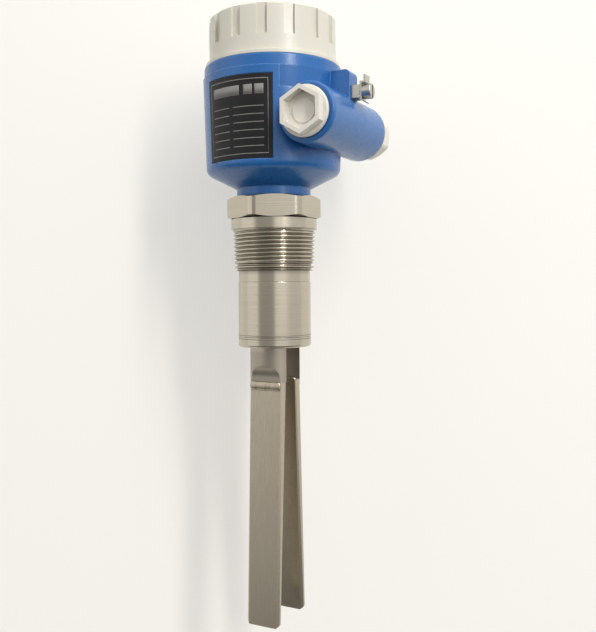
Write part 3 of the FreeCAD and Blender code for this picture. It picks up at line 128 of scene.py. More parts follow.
def combine_vectors(tree, operation, result, first, second):
    """The named result of a vector math node on two vectors."""
    node = add_node(tree, "ShaderNodeVectorMath", {"operation": operation})
    feed(tree, node.inputs[0], first)
    feed(tree, node.inputs[1], second)
    return node.outputs[result]


def mix(tree, kind, factor, first, second):
    """The blend of two numbers or two colours, each a socket or a plain value."""
    first_place, second_place, result_place = MIX_PLACES[kind]
    node = add_node(tree, "ShaderNodeMix", {"data_type": kind}, Factor=factor)
    feed(tree, node.inputs[first_place], first)
    feed(tree, node.inputs[second_place], second)
    return node.outputs[result_place]


def mix_shaders(tree, factor, first, second):
    """The blend of two shaders."""
    node = add_node(tree, "ShaderNodeMixShader", Fac=factor)
    feed(tree, node.inputs[1], first)
    feed(tree, node.inputs[2], second)
    return node.outputs["Shader"]


print("node helpers ready")

# %% Helpers for finishes and groups
FLOAT = "NodeSocketFloat"
COLOUR = "NodeSocketColor"
VECTOR = "NodeSocketVector"
GREY = (0.5, 0.5, 0.5, 1.0)


def opaque(colour, share=1.0):
    """A colour with full alpha, darkened to a share of itself."""
    return (*[channel * share for channel in colour], 1.0)


def new_finish(name, colour, roughness, metallic=0.0, coat=0.0, specular=0.5):
    """A material with its shader set to plain values, ready for detail."""
    material = bpy.data.materials.new(name)
    material.use_nodes = True
    shader = material.node_tree.nodes["Principled BSDF"]
    shader.inputs["Base Color"].default_value = opaque(colour)
    shader.inputs["Roughness"].default_value = roughness
    shader.inputs["Metallic"].default_value = metallic
    shader.inputs["Coat Weight"].default_value = coat
    shader.inputs["Specular IOR Level"].default_value = specular
    return material, material.node_tree, shader


def new_group(name, inputs, outputs):
    """A shader node group; inputs are names with first values, outputs are names with kinds of socket."""
    group = bpy.data.node_groups.new(name, "ShaderNodeTree")
    for label, value in inputs.items():
        kind = COLOUR if isinstance(value, tuple) else FLOAT
        socket = group.interface.new_socket(label, in_out="INPUT", socket_type=kind)
        socket.default_value = value
    for label, kind in outputs.items():
        group.interface.new_socket(label, in_out="OUTPUT", socket_type=kind)
    given = group.nodes.new("NodeGroupInput").outputs
    result = group.nodes.new("NodeGroupOutput").inputs
    return group, given, result


def place_group(tree, group, **inputs):
    """Place a node group in a material, feed its inputs by name and give back its outputs."""
    return add_node(tree, "ShaderNodeGroup", {"node_tree": group}, **inputs).outputs


print("finish helpers ready")

# %% [markdown]
# ## Shared surface effects
# Nothing here is one flat colour. Paint and moulded plastic drift slightly in tone, cast and coated faces
# have a fine grain, machined steel carries the marks of the tool, corners hold dust and painted shade, and
# outer edges wear bright, partly with a painted highlight. Painted pictures could give all that, but noise
# and masks fit pieces of any size and need no files.
# Each effect is a node group, built once, that the finishes place with their own values.

# %% Noise that stays with the object
# Most values of a noise texture lie between these two.
NOISE_LOW = 0.3
NOISE_HIGH = 0.7


def object_place(tree):
    """A point's place in the object's own space."""
    return add_node(tree, "ShaderNodeTexCoord").outputs["Object"]


def object_noise(tree, scale, detail, roughness=0.5):
    """Noise over the object, from 0 to 1."""
    node = add_node(tree, "ShaderNodeTexNoise", Vector=object_place(tree), Scale=scale, Detail=detail,
                    Roughness=roughness)
    return node.outputs["Fac"]


def spread_noise(tree, noise, low, high):
    """Stretch the middle of a noise to the range from low to high."""
    node = add_node(tree, "ShaderNodeMapRange", Value=noise, From_Min=NOISE_LOW, From_Max=NOISE_HIGH,
                    To_Min=low, To_Max=high)
    return node.outputs["Result"]


print("noise helpers ready")

# %% Tone that drifts over a surface
tone_group, given, result = new_group(
    "soft_tone", {"Color": GREY, "Second Color": GREY, "Scale": 60.0, "Amount": 0.5}, {"Color": COLOUR})
drift = object_noise(tone_group, given["Scale"], detail=4.0, roughness=0.55)
amount = calculate(tone_group, "MULTIPLY", drift, given["Amount"])
toned = mix(tone_group, "RGBA", amount, given["Color"], given["Second Color"])
feed(tone_group, result["Color"], toned)
print("effect:", tone_group.name)

# %% Fine grain of coated and moulded faces
BROAD_SCALE = 90.0
grain_group, given, result = new_group(
    "fine_grain", {"Scale": 2000.0, "Smooth": 0.3, "Rough": 0.5}, {"Roughness": FLOAT, "Height": FLOAT})
fine = object_noise(grain_group, given["Scale"], detail=2.0)
broad = object_noise(grain_group, BROAD_SCALE, detail=3.0)
feed(grain_group, result["Roughness"], spread_noise(grain_group, broad, given["Smooth"], given["Rough"]))
feed(grain_group, result["Height"], fine)
print("effect:", grain_group.name)

# %% Marks of turning and brushing
brush_group, given, result = new_group(
    "brushed_grain",
    {"Scale X": 60.0, "Scale Y": 60.0, "Scale Z": 5000.0, "Smooth": 0.25, "Rough": 0.45},
    {"Tone": FLOAT, "Roughness": FLOAT})
scales = add_node(brush_group, "ShaderNodeCombineXYZ",
                  X=given["Scale X"], Y=given["Scale Y"], Z=given["Scale Z"])
stretched = combine_vectors(brush_group, "MULTIPLY", "Vector", object_place(brush_group),
                            scales.outputs["Vector"])
streaks = add_node(brush_group, "ShaderNodeTexNoise", Vector=stretched, Scale=1.0, Detail=3.0, Roughness=0.6)
streak = streaks.outputs["Fac"]
feed(brush_group, result["Tone"], streak)
feed(brush_group, result["Roughness"], spread_noise(brush_group, streak, given["Smooth"], given["Rough"]))
print("effect:", brush_group.name)

# %% Bright wear and painted highlight on outer edges
# An edge shows where the normal of a rounded copy turns away from the face: the cosines of that turn.
NO_WEAR_NOR_HIGHLIGHT = 0.98
FULL_WEAR_AND_HIGHLIGHT = 0.75
WEAR_AND_HIGHLIGHT_PATCH_SCALE = 700.0
wear_and_highlight_group, given, result = new_group("worn_and_highlit_edges", {"Radius": 0.5 * MM, "Strength": 1.0}, {"Mask": FLOAT})
rounded = add_node(wear_and_highlight_group, "ShaderNodeBevel", {"samples": 4}, Radius=given["Radius"])
face = add_node(wear_and_highlight_group, "ShaderNodeNewGeometry")
likeness = combine_vectors(wear_and_highlight_group, "DOT_PRODUCT", "Value", rounded.outputs["Normal"],
                           face.outputs["Normal"])
edge = add_node(wear_and_highlight_group, "ShaderNodeMapRange", Value=likeness, From_Min=NO_WEAR_NOR_HIGHLIGHT, From_Max=FULL_WEAR_AND_HIGHLIGHT,
                To_Min=0.0, To_Max=1.0)
patches = object_noise(wear_and_highlight_group, WEAR_AND_HIGHLIGHT_PATCH_SCALE, detail=3.0)
broken = calculate(wear_and_highlight_group, "MULTIPLY", edge.outputs["Result"], patches)
feed(wear_and_highlight_group, result["Mask"], calculate(wear_and_highlight_group, "MULTIPLY", broken, given["Strength"], clamp=True))
print("effect:", wear_and_highlight_group.name)

# %% Dust and painted shade in corners
dust_and_shade_group, given, result = new_group("corner_dust_and_shade", {"Distance": 3.0 * MM, "Strength": 0.5}, {"Mask": FLOAT})
# The mask darkens corners by how hidden they are: partly dust, partly painted shade where less light reaches.
shade = add_node(dust_and_shade_group, "ShaderNodeAmbientOcclusion", {"samples": 4}, Distance=given["Distance"])
corner = calculate(dust_and_shade_group, "SUBTRACT", 1.0, shade.outputs["AO"])
feed(dust_and_shade_group, result["Mask"], calculate(dust_and_shade_group, "MULTIPLY", corner, given["Strength"], clamp=True))
print("effect:", dust_and_shade_group.name)

# %% Edges that a thick coat softens
soft_group, given, result = new_group("soft_edges", {"Radius": 0.8 * MM}, {"Normal": VECTOR})
rounded = add_node(soft_group, "ShaderNodeBevel", {"samples": 6}, Radius=given["Radius"])
feed(soft_group, result["Normal"], rounded.outputs["Normal"])
print("effect:", soft_group.name)

# %% [markdown]
# ## Coated and moulded finishes
# The casting has a blue powder coat with a faint orange peel. The cover wears the same coat in pale grey, and
# the plug and gland are moulded plastic. Grain this fine would take far too many faces as geometry, so it is
# a very shallow bump. One function makes them all: tone and gloss drift, dust and painted shade darken the
# corners, and outer edges can be a shade lighter, partly wear and partly a painted highlight.

# %% A function for coats and plastics
COAT_ROUGHNESS = 0.12
COAT_TONE_SCALE = 45.0
COAT_TONE_AMOUNT = 0.6
COAT_DUST_AND_SHADE_REACH = 4.0 * MM
COAT_DUST_AND_SHADE_TONE = 0.35
COAT_WEAR_AND_HIGHLIGHT_WIDTH = 0.6 * MM


def coated_finish(name, colour, second, roughness, grain, coat=0.0, edge_wear_and_highlight_colour=None, dust_and_shade=0.35,
                  specular=0.5, wear_and_highlight=0.5, soft_edge=0.0):
    """A coat or plastic; roughness is (smooth, rough) and grain is (scale, depth)."""
    smooth, rough = roughness
    grain_scale, grain_depth = grain
    material, tree, shader = new_finish(name, colour, smooth, coat=coat, specular=specular)
    shader.inputs["Coat Roughness"].default_value = COAT_ROUGHNESS
    tone = place_group(tree, tone_group, Color=opaque(colour), Second_Color=opaque(second),
                       Scale=COAT_TONE_SCALE, Amount=COAT_TONE_AMOUNT)
    dusty_and_shaded = place_group(tree, dust_and_shade_group, Distance=COAT_DUST_AND_SHADE_REACH, Strength=dust_and_shade)
    worn_and_lit = place_group(tree, wear_and_highlight_group, Radius=COAT_WEAR_AND_HIGHLIGHT_WIDTH, Strength=wear_and_highlight)
    grained = place_group(tree, grain_group, Scale=grain_scale, Smooth=smooth, Rough=rough)
    corners = mix(tree, "RGBA", dusty_and_shaded["Mask"], tone["Color"], opaque(second, COAT_DUST_AND_SHADE_TONE))
    edges = mix(tree, "RGBA", worn_and_lit["Mask"], corners, opaque(edge_wear_and_highlight_colour or colour))
    bump = add_node(tree, "ShaderNodeBump", Strength=1.0, Distance=grain_depth, Height=grained["Height"])
    if soft_edge:
        softened = place_group(tree, soft_group, Radius=soft_edge)
        feed(tree, bump.inputs["Normal"], softened["Normal"])
    feed(tree, shader.inputs["Base Color"], edges)
    feed(tree, shader.inputs["Roughness"], grained["Roughness"])
    feed(tree, shader.inputs["Normal"], bump.outputs["Normal"])
    return material


print("function ready:", coated_finish.__name__)

# %% Coats and plastics on the outside
OUTER_COATS = {
    # The blue coat's lighter edges are painted highlight as well as wear.
    "blue_coat": {
        "colour": (0.020, 0.138, 0.415), "second": (0.015, 0.112, 0.355), "roughness": (0.23, 0.30),
        "grain": (1500.0, 0.02 * MM), "coat": 0.04, "edge_wear_and_highlight_colour": (0.24, 0.46, 0.78), "wear_and_highlight": 1.2,
        "soft_edge": 0.9 * MM},
    "pale_coat": {
        "colour": (0.68, 0.66, 0.59), "second": (0.63, 0.61, 0.54), "roughness": (0.30, 0.40),
        "grain": (1700.0, 0.02 * MM), "coat": 0.03, "edge_wear_and_highlight_colour": (0.78, 0.76, 0.70), "dust_and_shade": 0.05},
    "pale_plastic": {
        "colour": (0.76, 0.735, 0.68), "second": (0.71, 0.68, 0.62), "roughness": (0.38, 0.50),
        "grain": (2600.0, 0.02 * MM), "edge_wear_and_highlight_colour": (0.84, 0.82, 0.78), "dust_and_shade": 0.05},
    "black_plate": {
        "colour": (0.011, 0.011, 0.012), "second": (0.017, 0.017, 0.018), "roughness": (0.40, 0.52),
        "grain": (3000.0, 0.01 * MM), "edge_wear_and_highlight_colour": (0.08, 0.08, 0.08), "specular": 0.25},
    "plate_print": {
        "colour": (0.24, 0.24, 0.235), "second": (0.17, 0.17, 0.165), "roughness": (0.48, 0.60),
        "grain": (3000.0, 0.01 * MM), "specular": 0.25},
    "rubber": {
        "colour": (0.020, 0.020, 0.020), "second": (0.030, 0.029, 0.028), "roughness": (0.55, 0.70),
        "grain": (2200.0, 0.03 * MM)},
}
finishes = {}
for name, values in OUTER_COATS.items():
    finishes[name] = coated_finish(name, **values)
print("outer coats and plastics:", list(OUTER_COATS))

# %% Plastics and other pieces on the inside
INNER_COATS = {
    "insert_plastic": {
        "colour": (0.060, 0.065, 0.070), "second": (0.045, 0.048, 0.052), "roughness": (0.42, 0.55),
        "grain": (2500.0, 0.02 * MM)},
    "terminal_plastic": {
        "colour": (0.035, 0.17, 0.085), "second": (0.028, 0.14, 0.07), "roughness": (0.40, 0.50),
        "grain": (2500.0, 0.02 * MM)},
    "slider_plastic": {
        "colour": (0.70, 0.69, 0.65), "second": (0.62, 0.61, 0.57), "roughness": (0.35, 0.45),
        "grain": (2500.0, 0.02 * MM)},
    "board_lacquer": {
        "colour": (0.014, 0.12, 0.05), "second": (0.010, 0.09, 0.04), "roughness": (0.25, 0.35),
        "grain": (1200.0, 0.02 * MM)},
    "fired_ceramic": {
        "colour": (0.48, 0.40, 0.29), "second": (0.42, 0.35, 0.25), "roughness": (0.55, 0.70),
        "grain": (1800.0, 0.03 * MM)},
    "lead_sleeve": {
        "colour": (0.30, 0.020, 0.016), "second": (0.24, 0.016, 0.013), "roughness": (0.45, 0.60),
        "grain": (1800.0, 0.02 * MM)},
    "green_lens": {
        "colour": (0.06, 0.42, 0.09), "second": (0.05, 0.36, 0.07), "roughness": (0.12, 0.20),
        "grain": (900.0, 0.01 * MM), "coat": 0.4},
    "yellow_lens": {
        "colour": (0.70, 0.46, 0.04), "second": (0.62, 0.40, 0.03), "roughness": (0.12, 0.20),
        "grain": (900.0, 0.01 * MM), "coat": 0.4},
}
for name, values in INNER_COATS.items():
    finishes[name] = coated_finish(name, **values)
print("inner coats and plastics:", list(INNER_COATS))

# %% [markdown]
# ## Steel finishes
# The wetted parts are stainless steel. Turned pieces carry fine rings from the lathe, the blades were ground
# along their length, and both have a warm satin sheen. An anisotropic shader stretches the highlight but
# shows no marks, so noise drawn out along the tool's path changes tone and roughness a little and gives a
# very fine relief. Below a height a group makes the fork's stubs duller and darker, and the darkening is a
# painted shade under the fork head.

# %% Painted shade and dullness below a height
shade_below_group, given, result = new_group(
    "shade_below_height",
    {"Color": GREY, "Shade": GREY, "Roughness": 0.2, "Shade Roughness": 0.4,
     "Clean Height": 0.0, "Stained Height": -10.0 * MM},
    {"Color": COLOUR, "Roughness": FLOAT})
place = add_node(shade_below_group, "ShaderNodeSeparateXYZ", Vector=object_place(shade_below_group))
below = add_node(shade_below_group, "ShaderNodeMapRange", Value=place.outputs["Z"],
                 From_Min=given["Clean Height"], From_Max=given["Stained Height"])
share = below.outputs["Result"]
feed(shade_below_group, result["Color"], mix(shade_below_group, "RGBA", share, given["Color"], given["Shade"]))
dulled = mix(shade_below_group, "FLOAT", share, given["Roughness"], given["Shade Roughness"])
feed(shade_below_group, result["Roughness"], dulled)
print("effect:", shade_below_group.name)

# %% A function for metals
METAL_TONE_SCALE = 70.0
METAL_TONE_AMOUNT = 0.7
METAL_DUST_AND_SHADE_REACH = 3.0 * MM
METAL_DUST_AND_SHADE_TONE = 0.30
STREAK_SHADE = 0.86


def metal_finish(name, colour, second, scales, roughness, relief=0.004 * MM, dust_and_shade=0.5, shade_below=None):
    """A machined metal: streaks along one way, dust and painted shade in corners, perhaps painted shade below
    a height.
    """
    smooth, rough = roughness
    material, tree, shader = new_finish(name, colour, smooth, metallic=1.0)
    brushed = place_group(tree, brush_group, Scale_X=scales[0], Scale_Y=scales[1], Scale_Z=scales[2],
                          Smooth=smooth, Rough=rough)
    tone = place_group(tree, tone_group, Color=opaque(colour), Second_Color=opaque(second),
                       Scale=METAL_TONE_SCALE, Amount=METAL_TONE_AMOUNT)
    dusty_and_shaded = place_group(tree, dust_and_shade_group, Distance=METAL_DUST_AND_SHADE_REACH, Strength=dust_and_shade)
    streaked = mix(tree, "RGBA", brushed["Tone"], tone["Color"], opaque(second, STREAK_SHADE))
    corners = mix(tree, "RGBA", dusty_and_shaded["Mask"], streaked, opaque(second, METAL_DUST_AND_SHADE_TONE))
    surface = {"Color": corners, "Roughness": brushed["Roughness"]}
    if shade_below:
        surface = place_group(tree, shade_below_group, **surface, **shade_below)
    bump = add_node(tree, "ShaderNodeBump", Strength=1.0, Distance=relief, Height=brushed["Tone"])
    feed(tree, shader.inputs["Base Color"], surface["Color"])
    feed(tree, shader.inputs["Roughness"], surface["Roughness"])
    feed(tree, shader.inputs["Normal"], bump.outputs["Normal"])
    return material


print("function ready:", metal_finish.__name__)

# %% Steel, plated steel and brass
# Scales of the streaks along X, Y and Z: rings round the axis, lines along it, or an even grain.
RINGED = (30.0, 30.0, 3000.0)
LENGTHWISE = (2600.0, 2600.0, 40.0)
EVEN = (2400.0, 2400.0, 2400.0)
TURNED_STEEL = {
    "colour": (0.60, 0.555, 0.465), "second": (0.54, 0.495, 0.405), "scales": RINGED,
    "roughness": (0.17, 0.25), "relief": 0.002 * MM}
# Painted shade: the fork's stubs get darker below the fork head.
STUB_SHADE = {
    "Shade": (0.40, 0.36, 0.305, 1.0), "Shade_Roughness": 0.44,
    "Clean_Height": -69.0 * MM, "Stained_Height": -72.5 * MM}
METALS = {
    "turned_steel": TURNED_STEEL,
    # More painted shade darkens the thread's grooves.
    "thread_steel": {**TURNED_STEEL, "dust_and_shade": 1.3},
    "fork_steel": {**TURNED_STEEL, "dust_and_shade": 0.8, "shade_below": STUB_SHADE},
    "ground_steel": {
        "colour": (0.55, 0.495, 0.40), "second": (0.48, 0.425, 0.335), "scales": LENGTHWISE,
        "roughness": (0.26, 0.36), "relief": 0.002 * MM},
    "weld_steel": {
        "colour": (0.60, 0.53, 0.44), "second": (0.52, 0.45, 0.36), "scales": EVEN,
        "roughness": (0.30, 0.42)},
    # Painted shade: two thin rings in this dark finish stand for the shade in two fine grooves.
    "groove_shade_steel": {
        "colour": (0.16, 0.14, 0.11), "second": (0.34, 0.30, 0.24), "scales": EVEN,
        "roughness": (0.40, 0.60)},
    "plated_steel": {
        "colour": (0.64, 0.62, 0.58), "second": (0.56, 0.54, 0.50), "scales": EVEN,
        "roughness": (0.24, 0.36)},
    "brass_sheet": {
        "colour": (0.66, 0.46, 0.18), "second": (0.58, 0.40, 0.15), "scales": EVEN,
        "roughness": (0.28, 0.40)},
}
for name, values in METALS.items():
    finishes[name] = metal_finish(name, **values)
print("metals:", list(METALS), "finishes in all:", len(finishes))

# %% [markdown]
# ## Finishes on the solids
# Most solids already have their final form, so they keep it and only take a finish. Real edges are never
# knife sharp, so a chain of modifiers merges the solid's facets into flat faces, rounds every edge by a few
# tenths of a millimetre and weights the normals by face area. The solid's own mesh stays as it is.

# %% Give each solid its finish
SOLIDS_OF_FINISH = {
    "turned_steel": ["process_adapter", "neck_tube"],
    "fork_steel": ["fork_head"],
    "ground_steel": ["front_blade", "rear_blade"],
    "plated_steel": ["lock_nut", "earth_block", "earth_clip", "earth_washer", "earth_screw", "insert_screws",
                     "terminal_screws", "drive_cup", "drive_nut", "drive_stud"],
    "blue_coat": ["housing"],
    "pale_coat": ["cover"],
    "pale_plastic": ["front_plug", "gland_body", "gland_nut"],
    "black_plate": ["nameplate"],
    "rubber": ["stem_seal", "cover_seal", "front_gasket", "gland_gasket", "gland_bush"],
    "insert_plastic": ["insert_cup", "insert_lid", "lead_guide", "switch_frame"],
    "terminal_plastic": ["terminal_block"],
    "slider_plastic": ["fail_safe_slider", "sensitivity_slider"],
    "board_lacquer": ["circuit_board"],
    "fired_ceramic": ["piezo_rings", "insulator_rings"],
    "brass_sheet": ["contact_sheets"],
    "lead_sleeve": ["sensor_lead"],
    "green_lens": ["green_lamp"],
    "yellow_lens": ["yellow_lamp"],
}
for finish, names in SOLIDS_OF_FINISH.items():
    for name in names:
        nodes[name].data.materials.clear()
        nodes[name].data.materials.append(finishes[finish])
print("solids with a finish:", sum(len(names) for names in SOLIDS_OF_FINISH.values()), "of", len(nodes))

# %% Round the edges that the eye meets
EDGE_WIDTHS = {
    "cover": 0.8 * MM, "front_plug": 0.6 * MM, "gland_body": 0.3 * MM, "gland_nut": 0.4 * MM,
    "earth_block": 0.3 * MM, "earth_clip": 0.2 * MM, "earth_screw": 0.15 * MM,
    "neck_tube": 0.35 * MM, "fork_head": 0.25 * MM, "front_blade": 0.3 * MM, "rear_blade": 0.3 * MM,
}
SAME_POINT = 0.001 * MM
FLAT_ANGLE = math.radians(0.4)
EDGE_ANGLE = math.radians(28.0)
EDGE_SEGMENTS = 3


def round_edges(piece, width):
    """Merge facets into faces, round the edges and weight the normals, all as modifiers."""
    weld = piece.modifiers.new("merge_points", "WELD")
    weld.merge_threshold = SAME_POINT
    flat = piece.modifiers.new("merge_facets", "DECIMATE")
    flat.decimate_type = "DISSOLVE"
    flat.angle_limit = FLAT_ANGLE
    bevel = piece.modifiers.new("round_edges", "BEVEL")
    bevel.limit_method = "ANGLE"
    bevel.angle_limit = EDGE_ANGLE
    bevel.width = width
    bevel.segments = EDGE_SEGMENTS
    normals = piece.modifiers.new("face_normals", "WEIGHTED_NORMAL")
    normals.keep_sharp = True
    for polygon in piece.data.polygons:
        polygon.use_smooth = True


for name, width in EDGE_WIDTHS.items():
    round_edges(nodes[name], width)
print("solids with rounded edges:", len(EDGE_WIDTHS))

# %% [markdown]
# ## The taper pipe thread
# The solid model has a plain cone where the adapter carries a 1 1/2 inch taper thread. A ring of grooves
# would look nearly right, but a thread is one groove that climbs, so here each point of a grid on the cone is
# sunk by its phase along the helix. Two plain grooves go round the foot, below the thread's first turn. The
# grid takes the place of the cone in a copy of the adapter and is joined to the cone's two rims.

# %% Helpers for new meshes and pieces


def radius_of(vertex):
    """A point's distance from the main axis."""
    return math.hypot(vertex.co.x, vertex.co.y)


def copy_of_solid(name):
    """A copy of a solid's mesh with its doubled points merged."""
    shell = bmesh.new()
    shell.from_mesh(nodes[name].data)
    bmesh.ops.remove_doubles(shell, verts=shell.verts, dist=SAME_POINT)
    return shell


def skin(shell, loops):
    """Join each closed loop of points to the next one by faces."""
    for first, second in zip(loops, loops[1:]):
        for index in range(len(first)):
            following = (index + 1) % len(first)
            shell.faces.new((first[index], first[following], second[following], second[index]))


def close_ends(shell, loops):
    """Close the first and the last of a row of loops by a face."""
    shell.faces.new(list(reversed(loops[0])))
    shell.faces.new(loops[-1])


def new_object(name, shell, finish):
    """Turn a bmesh into a smooth object with a finish."""
    mesh = bpy.data.meshes.new(name)
    shell.to_mesh(mesh)
    shell.free()
    mesh.materials.append(finish)
    for polygon in mesh.polygons:
        polygon.use_smooth = True
    made = bpy.data.objects.new(name, mesh)
    scene.collection.objects.link(made)
    return made


def new_piece(name, shell, finish, body):
    """A new object that rides on a body and takes the finish of that name."""
    piece = new_object(name, shell, finishes[finish])
    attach(piece, body)
    return piece


print("mesh helpers ready")

# %% Depth of the thread
THREAD_CREST = 24.3 * MM
THREAD_LENGTH = 24.5 * MM
# The diameter grows by one part in this many parts of the length.
THREAD_TAPER = 16.0
THREAD_PITCH = 2.309 * MM
THREAD_DEPTH = 1.15 * MM
THREAD_START = 4.2 * MM
THREAD_RUN_IN = 0.4 * THREAD_PITCH
THREAD_RUN_OUT = 1.2 * THREAD_PITCH
# Shares of half a pitch, from the middle of the root to the flank's foot and to its top.
FLANK_FOOT = 0.12
FLANK_TOP = 0.74
FLANK_ROUNDING = 0.5
FOOT_GROOVES = (0.95 * MM, 3.5 * MM)
FOOT_GROOVE_HALF = 0.9 * MM
FOOT_GROOVE_DEPTH = 1.6 * MM
FOOT_GROOVE_POWER = 4


def cone_radius(height):
    """Radius of the thread's crests at a height."""
    return THREAD_CREST + height / THREAD_TAPER / 2


def groove_depth(height, turn):
    """How deep the metal is cut at a height and a turn about the axis."""
    phase = (height / THREAD_PITCH - turn) % 1.0
    from_root = abs(2.0 * phase - 1.0)
    flank = min(max((FLANK_TOP - from_root) / (FLANK_TOP - FLANK_FOOT), 0.0), 1.0)
    rounded_flank = flank * flank * (3.0 - 2.0 * flank)
    shape = flank + FLANK_ROUNDING * (rounded_flank - flank)
    above_foot = height + THREAD_LENGTH
    run_in = min((above_foot - THREAD_START) / THREAD_RUN_IN, 1.0)
    run_out = min(-height / THREAD_RUN_OUT, 1.0)
    depth = THREAD_DEPTH * shape * max(min(run_in, run_out), 0.0)
    for groove in FOOT_GROOVES:
        off_centre = abs(above_foot - groove) / FOOT_GROOVE_HALF
        depth = max(depth, FOOT_GROOVE_DEPTH * (1.0 - off_centre ** FOOT_GROOVE_POWER))
    return depth


print("turns of thread:", round((THREAD_LENGTH - THREAD_START) / THREAD_PITCH, 1))

# %% Take the plain cone away
SAME_HEIGHT = 0.01 * MM
SAME_RADIUS = 0.03 * MM
SAME_TURN = 1e-4
LEAST_FACET = 0.1 * MM


def on_cone(vertex):
    """Whether a point of the solid lies on the cone."""
    in_length = -THREAD_LENGTH - SAME_HEIGHT < vertex.co.z < SAME_HEIGHT
    return in_length and abs(radius_of(vertex) - cone_radius(vertex.co.z)) < SAME_RADIUS


def is_facet_of_cone(face):
    """Whether a face lies on the cone and isn't a flat ring at one end of it."""
    heights = [vertex.co.z for vertex in face.verts]
    return max(heights) - min(heights) > LEAST_FACET and all(on_cone(vertex) for vertex in face.verts)


def turn_of(vertex):
    """A point's turn about the axis, from 0 to 1, where a point a hair before 0 counts as 0."""
    turn = math.atan2(vertex.co.y, vertex.co.x) / math.tau
    return max((turn + SAME_TURN) % 1.0 - SAME_TURN, 0.0)


def open_rim(shell, height):
    """The points of the open edge at a height, in order of their turn."""
    points = [vertex for vertex in shell.verts if vertex.is_boundary]
    points = [vertex for vertex in points if abs(vertex.co.z - height) < SAME_HEIGHT]
    return sorted(points, key=turn_of)


adapter_shell = copy_of_solid("process_adapter")
cone_facets = [face for face in adapter_shell.faces if is_facet_of_cone(face)]
facet_count = len(cone_facets)
bmesh.ops.delete(adapter_shell, geom=cone_facets, context="FACES")
foot_rim = open_rim(adapter_shell, -THREAD_LENGTH)
top_rim = open_rim(adapter_shell, 0.0)
print("facets taken away:", facet_count, "points of the rims:", len(foot_rim), len(top_rim))

# %% Put the thread in its place
ROWS_PER_PITCH = 12
THREAD_ROWS = int(THREAD_LENGTH / THREAD_PITCH * ROWS_PER_PITCH)
THREAD_COLUMNS = 120


def thread_ring(shell, height):
    """A ring of new points on the thread at a height."""
    ring = []
    for column in range(THREAD_COLUMNS):
        turn = column / THREAD_COLUMNS
        radius = cone_radius(height) - groove_depth(height, turn)
        angle = math.tau * turn
        ring.append(shell.verts.new((radius * math.cos(angle), radius * math.sin(angle), height)))
    return ring


def zip_rings(shell, lower, upper):
    """Fill the strip between two rings with triangles, stepping along whichever ring lags behind."""
    low_turns = [turn_of(vertex) for vertex in lower] + [1.0 + turn_of(lower[0])]
    high_turns = [turn_of(vertex) for vertex in upper] + [1.0 + turn_of(upper[0])]
    low = 0
    high = 0
    while low < len(lower) or high < len(upper):
        first = lower[low % len(lower)]
        second = upper[high % len(upper)]
        if high == len(upper) or (low < len(lower) and low_turns[low + 1] <= high_turns[high + 1]):
            low += 1
            shell.faces.new((first, lower[low % len(lower)], second))
        else:
            high += 1
            shell.faces.new((first, upper[high % len(upper)], second))


rings = []
for row in range(1, THREAD_ROWS):
    rings.append(thread_ring(adapter_shell, -THREAD_LENGTH * (1.0 - row / THREAD_ROWS)))
skin(adapter_shell, rings)
zip_rings(adapter_shell, foot_rim, rings[0])
zip_rings(adapter_shell, rings[-1], top_rim)
for edge in adapter_shell.edges:
    if edge.calc_face_angle(0.0) > EDGE_ANGLE:
        edge.smooth = False
adapter = new_piece("threaded_adapter", adapter_shell, "thread_steel", "process")
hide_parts("process_adapter")
print(adapter.name, "faces:", len(adapter.data.polygons))

# %% [markdown]
# ## The casting's panel and the nameplate's seat
# Between the nameplate and the earth lug the casting's wall is set back to the rim's face, and the floor of
# that recess leans in towards its foot. The solid has a panel of the right outline there, so a copy of the
# casting keeps that outline and only the panel's face moves in. The plate and its seat reach nearly to the
# foot of the wall, so their lowest points slide down the wall's own slope.

# %% Where the wall, the panel and the plate are
WALL_FOOT_RADIUS = 39.7 * MM
WALL_FOOT = 33.0 * MM
WALL_TOP_RADIUS = 41.4 * MM
WALL_TOP = 88.0 * MM
PANEL_PROUD = 1.0 * MM
PANEL_FOOT = 76.0 * MM
PANEL_TURNS = (math.radians(33.0), math.radians(88.0))
SEAT_DEPTH = 0.6 * MM
SEAT_TURNS = (math.radians(-35.0), math.radians(30.0))


def wall_radius(height):
    """Outside radius of the drafted wall at a height."""
    share = (height - WALL_FOOT) / (WALL_TOP - WALL_FOOT)
    return WALL_FOOT_RADIUS + share * (WALL_TOP_RADIUS - WALL_FOOT_RADIUS)


def is_between(vertex, turns):
    """Whether a point lies between two turns to the right of the front."""
    return turns[0] < math.atan2(vertex.co.x, -vertex.co.y) < turns[1]


def on_panel(vertex):
    """Whether a point lies on the panel's face."""
    in_height = PANEL_FOOT - SAME_HEIGHT < vertex.co.z < WALL_TOP + SAME_HEIGHT
    proud = radius_of(vertex) - wall_radius(vertex.co.z)
    return in_height and is_between(vertex, PANEL_TURNS) and abs(proud - PANEL_PROUD) < SAME_RADIUS


def at_plate(vertex, height):
    """Whether a point lies at a height, in the depth and the turns of the plate's seat."""
    depth = wall_radius(vertex.co.z) - radius_of(vertex)
    in_seat = -SAME_RADIUS < depth < SEAT_DEPTH + SAME_RADIUS and is_between(vertex, SEAT_TURNS)
    return in_seat and abs(vertex.co.z - height) < SAME_HEIGHT


print("wall radius at the panel's foot in millimetres:", round(wall_radius(PANEL_FOOT) / MM, 2))

# %% Set the panel's face back and lower the plate's seat
PANEL_FACE_FOOT = 39.3 * MM
PANEL_FACE_TOP = 40.75 * MM
PLATE_FOOT = 37.1 * MM
SEAT_ROOM = 0.4 * MM
CAST_EDGE = 0.4 * MM
plate_low, plate_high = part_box("nameplate")


def set_radius(vertex, radius):
    """Move a point straight in or out to a radius."""
    vertex.co.xy = vertex.co.xy.normalized() * radius


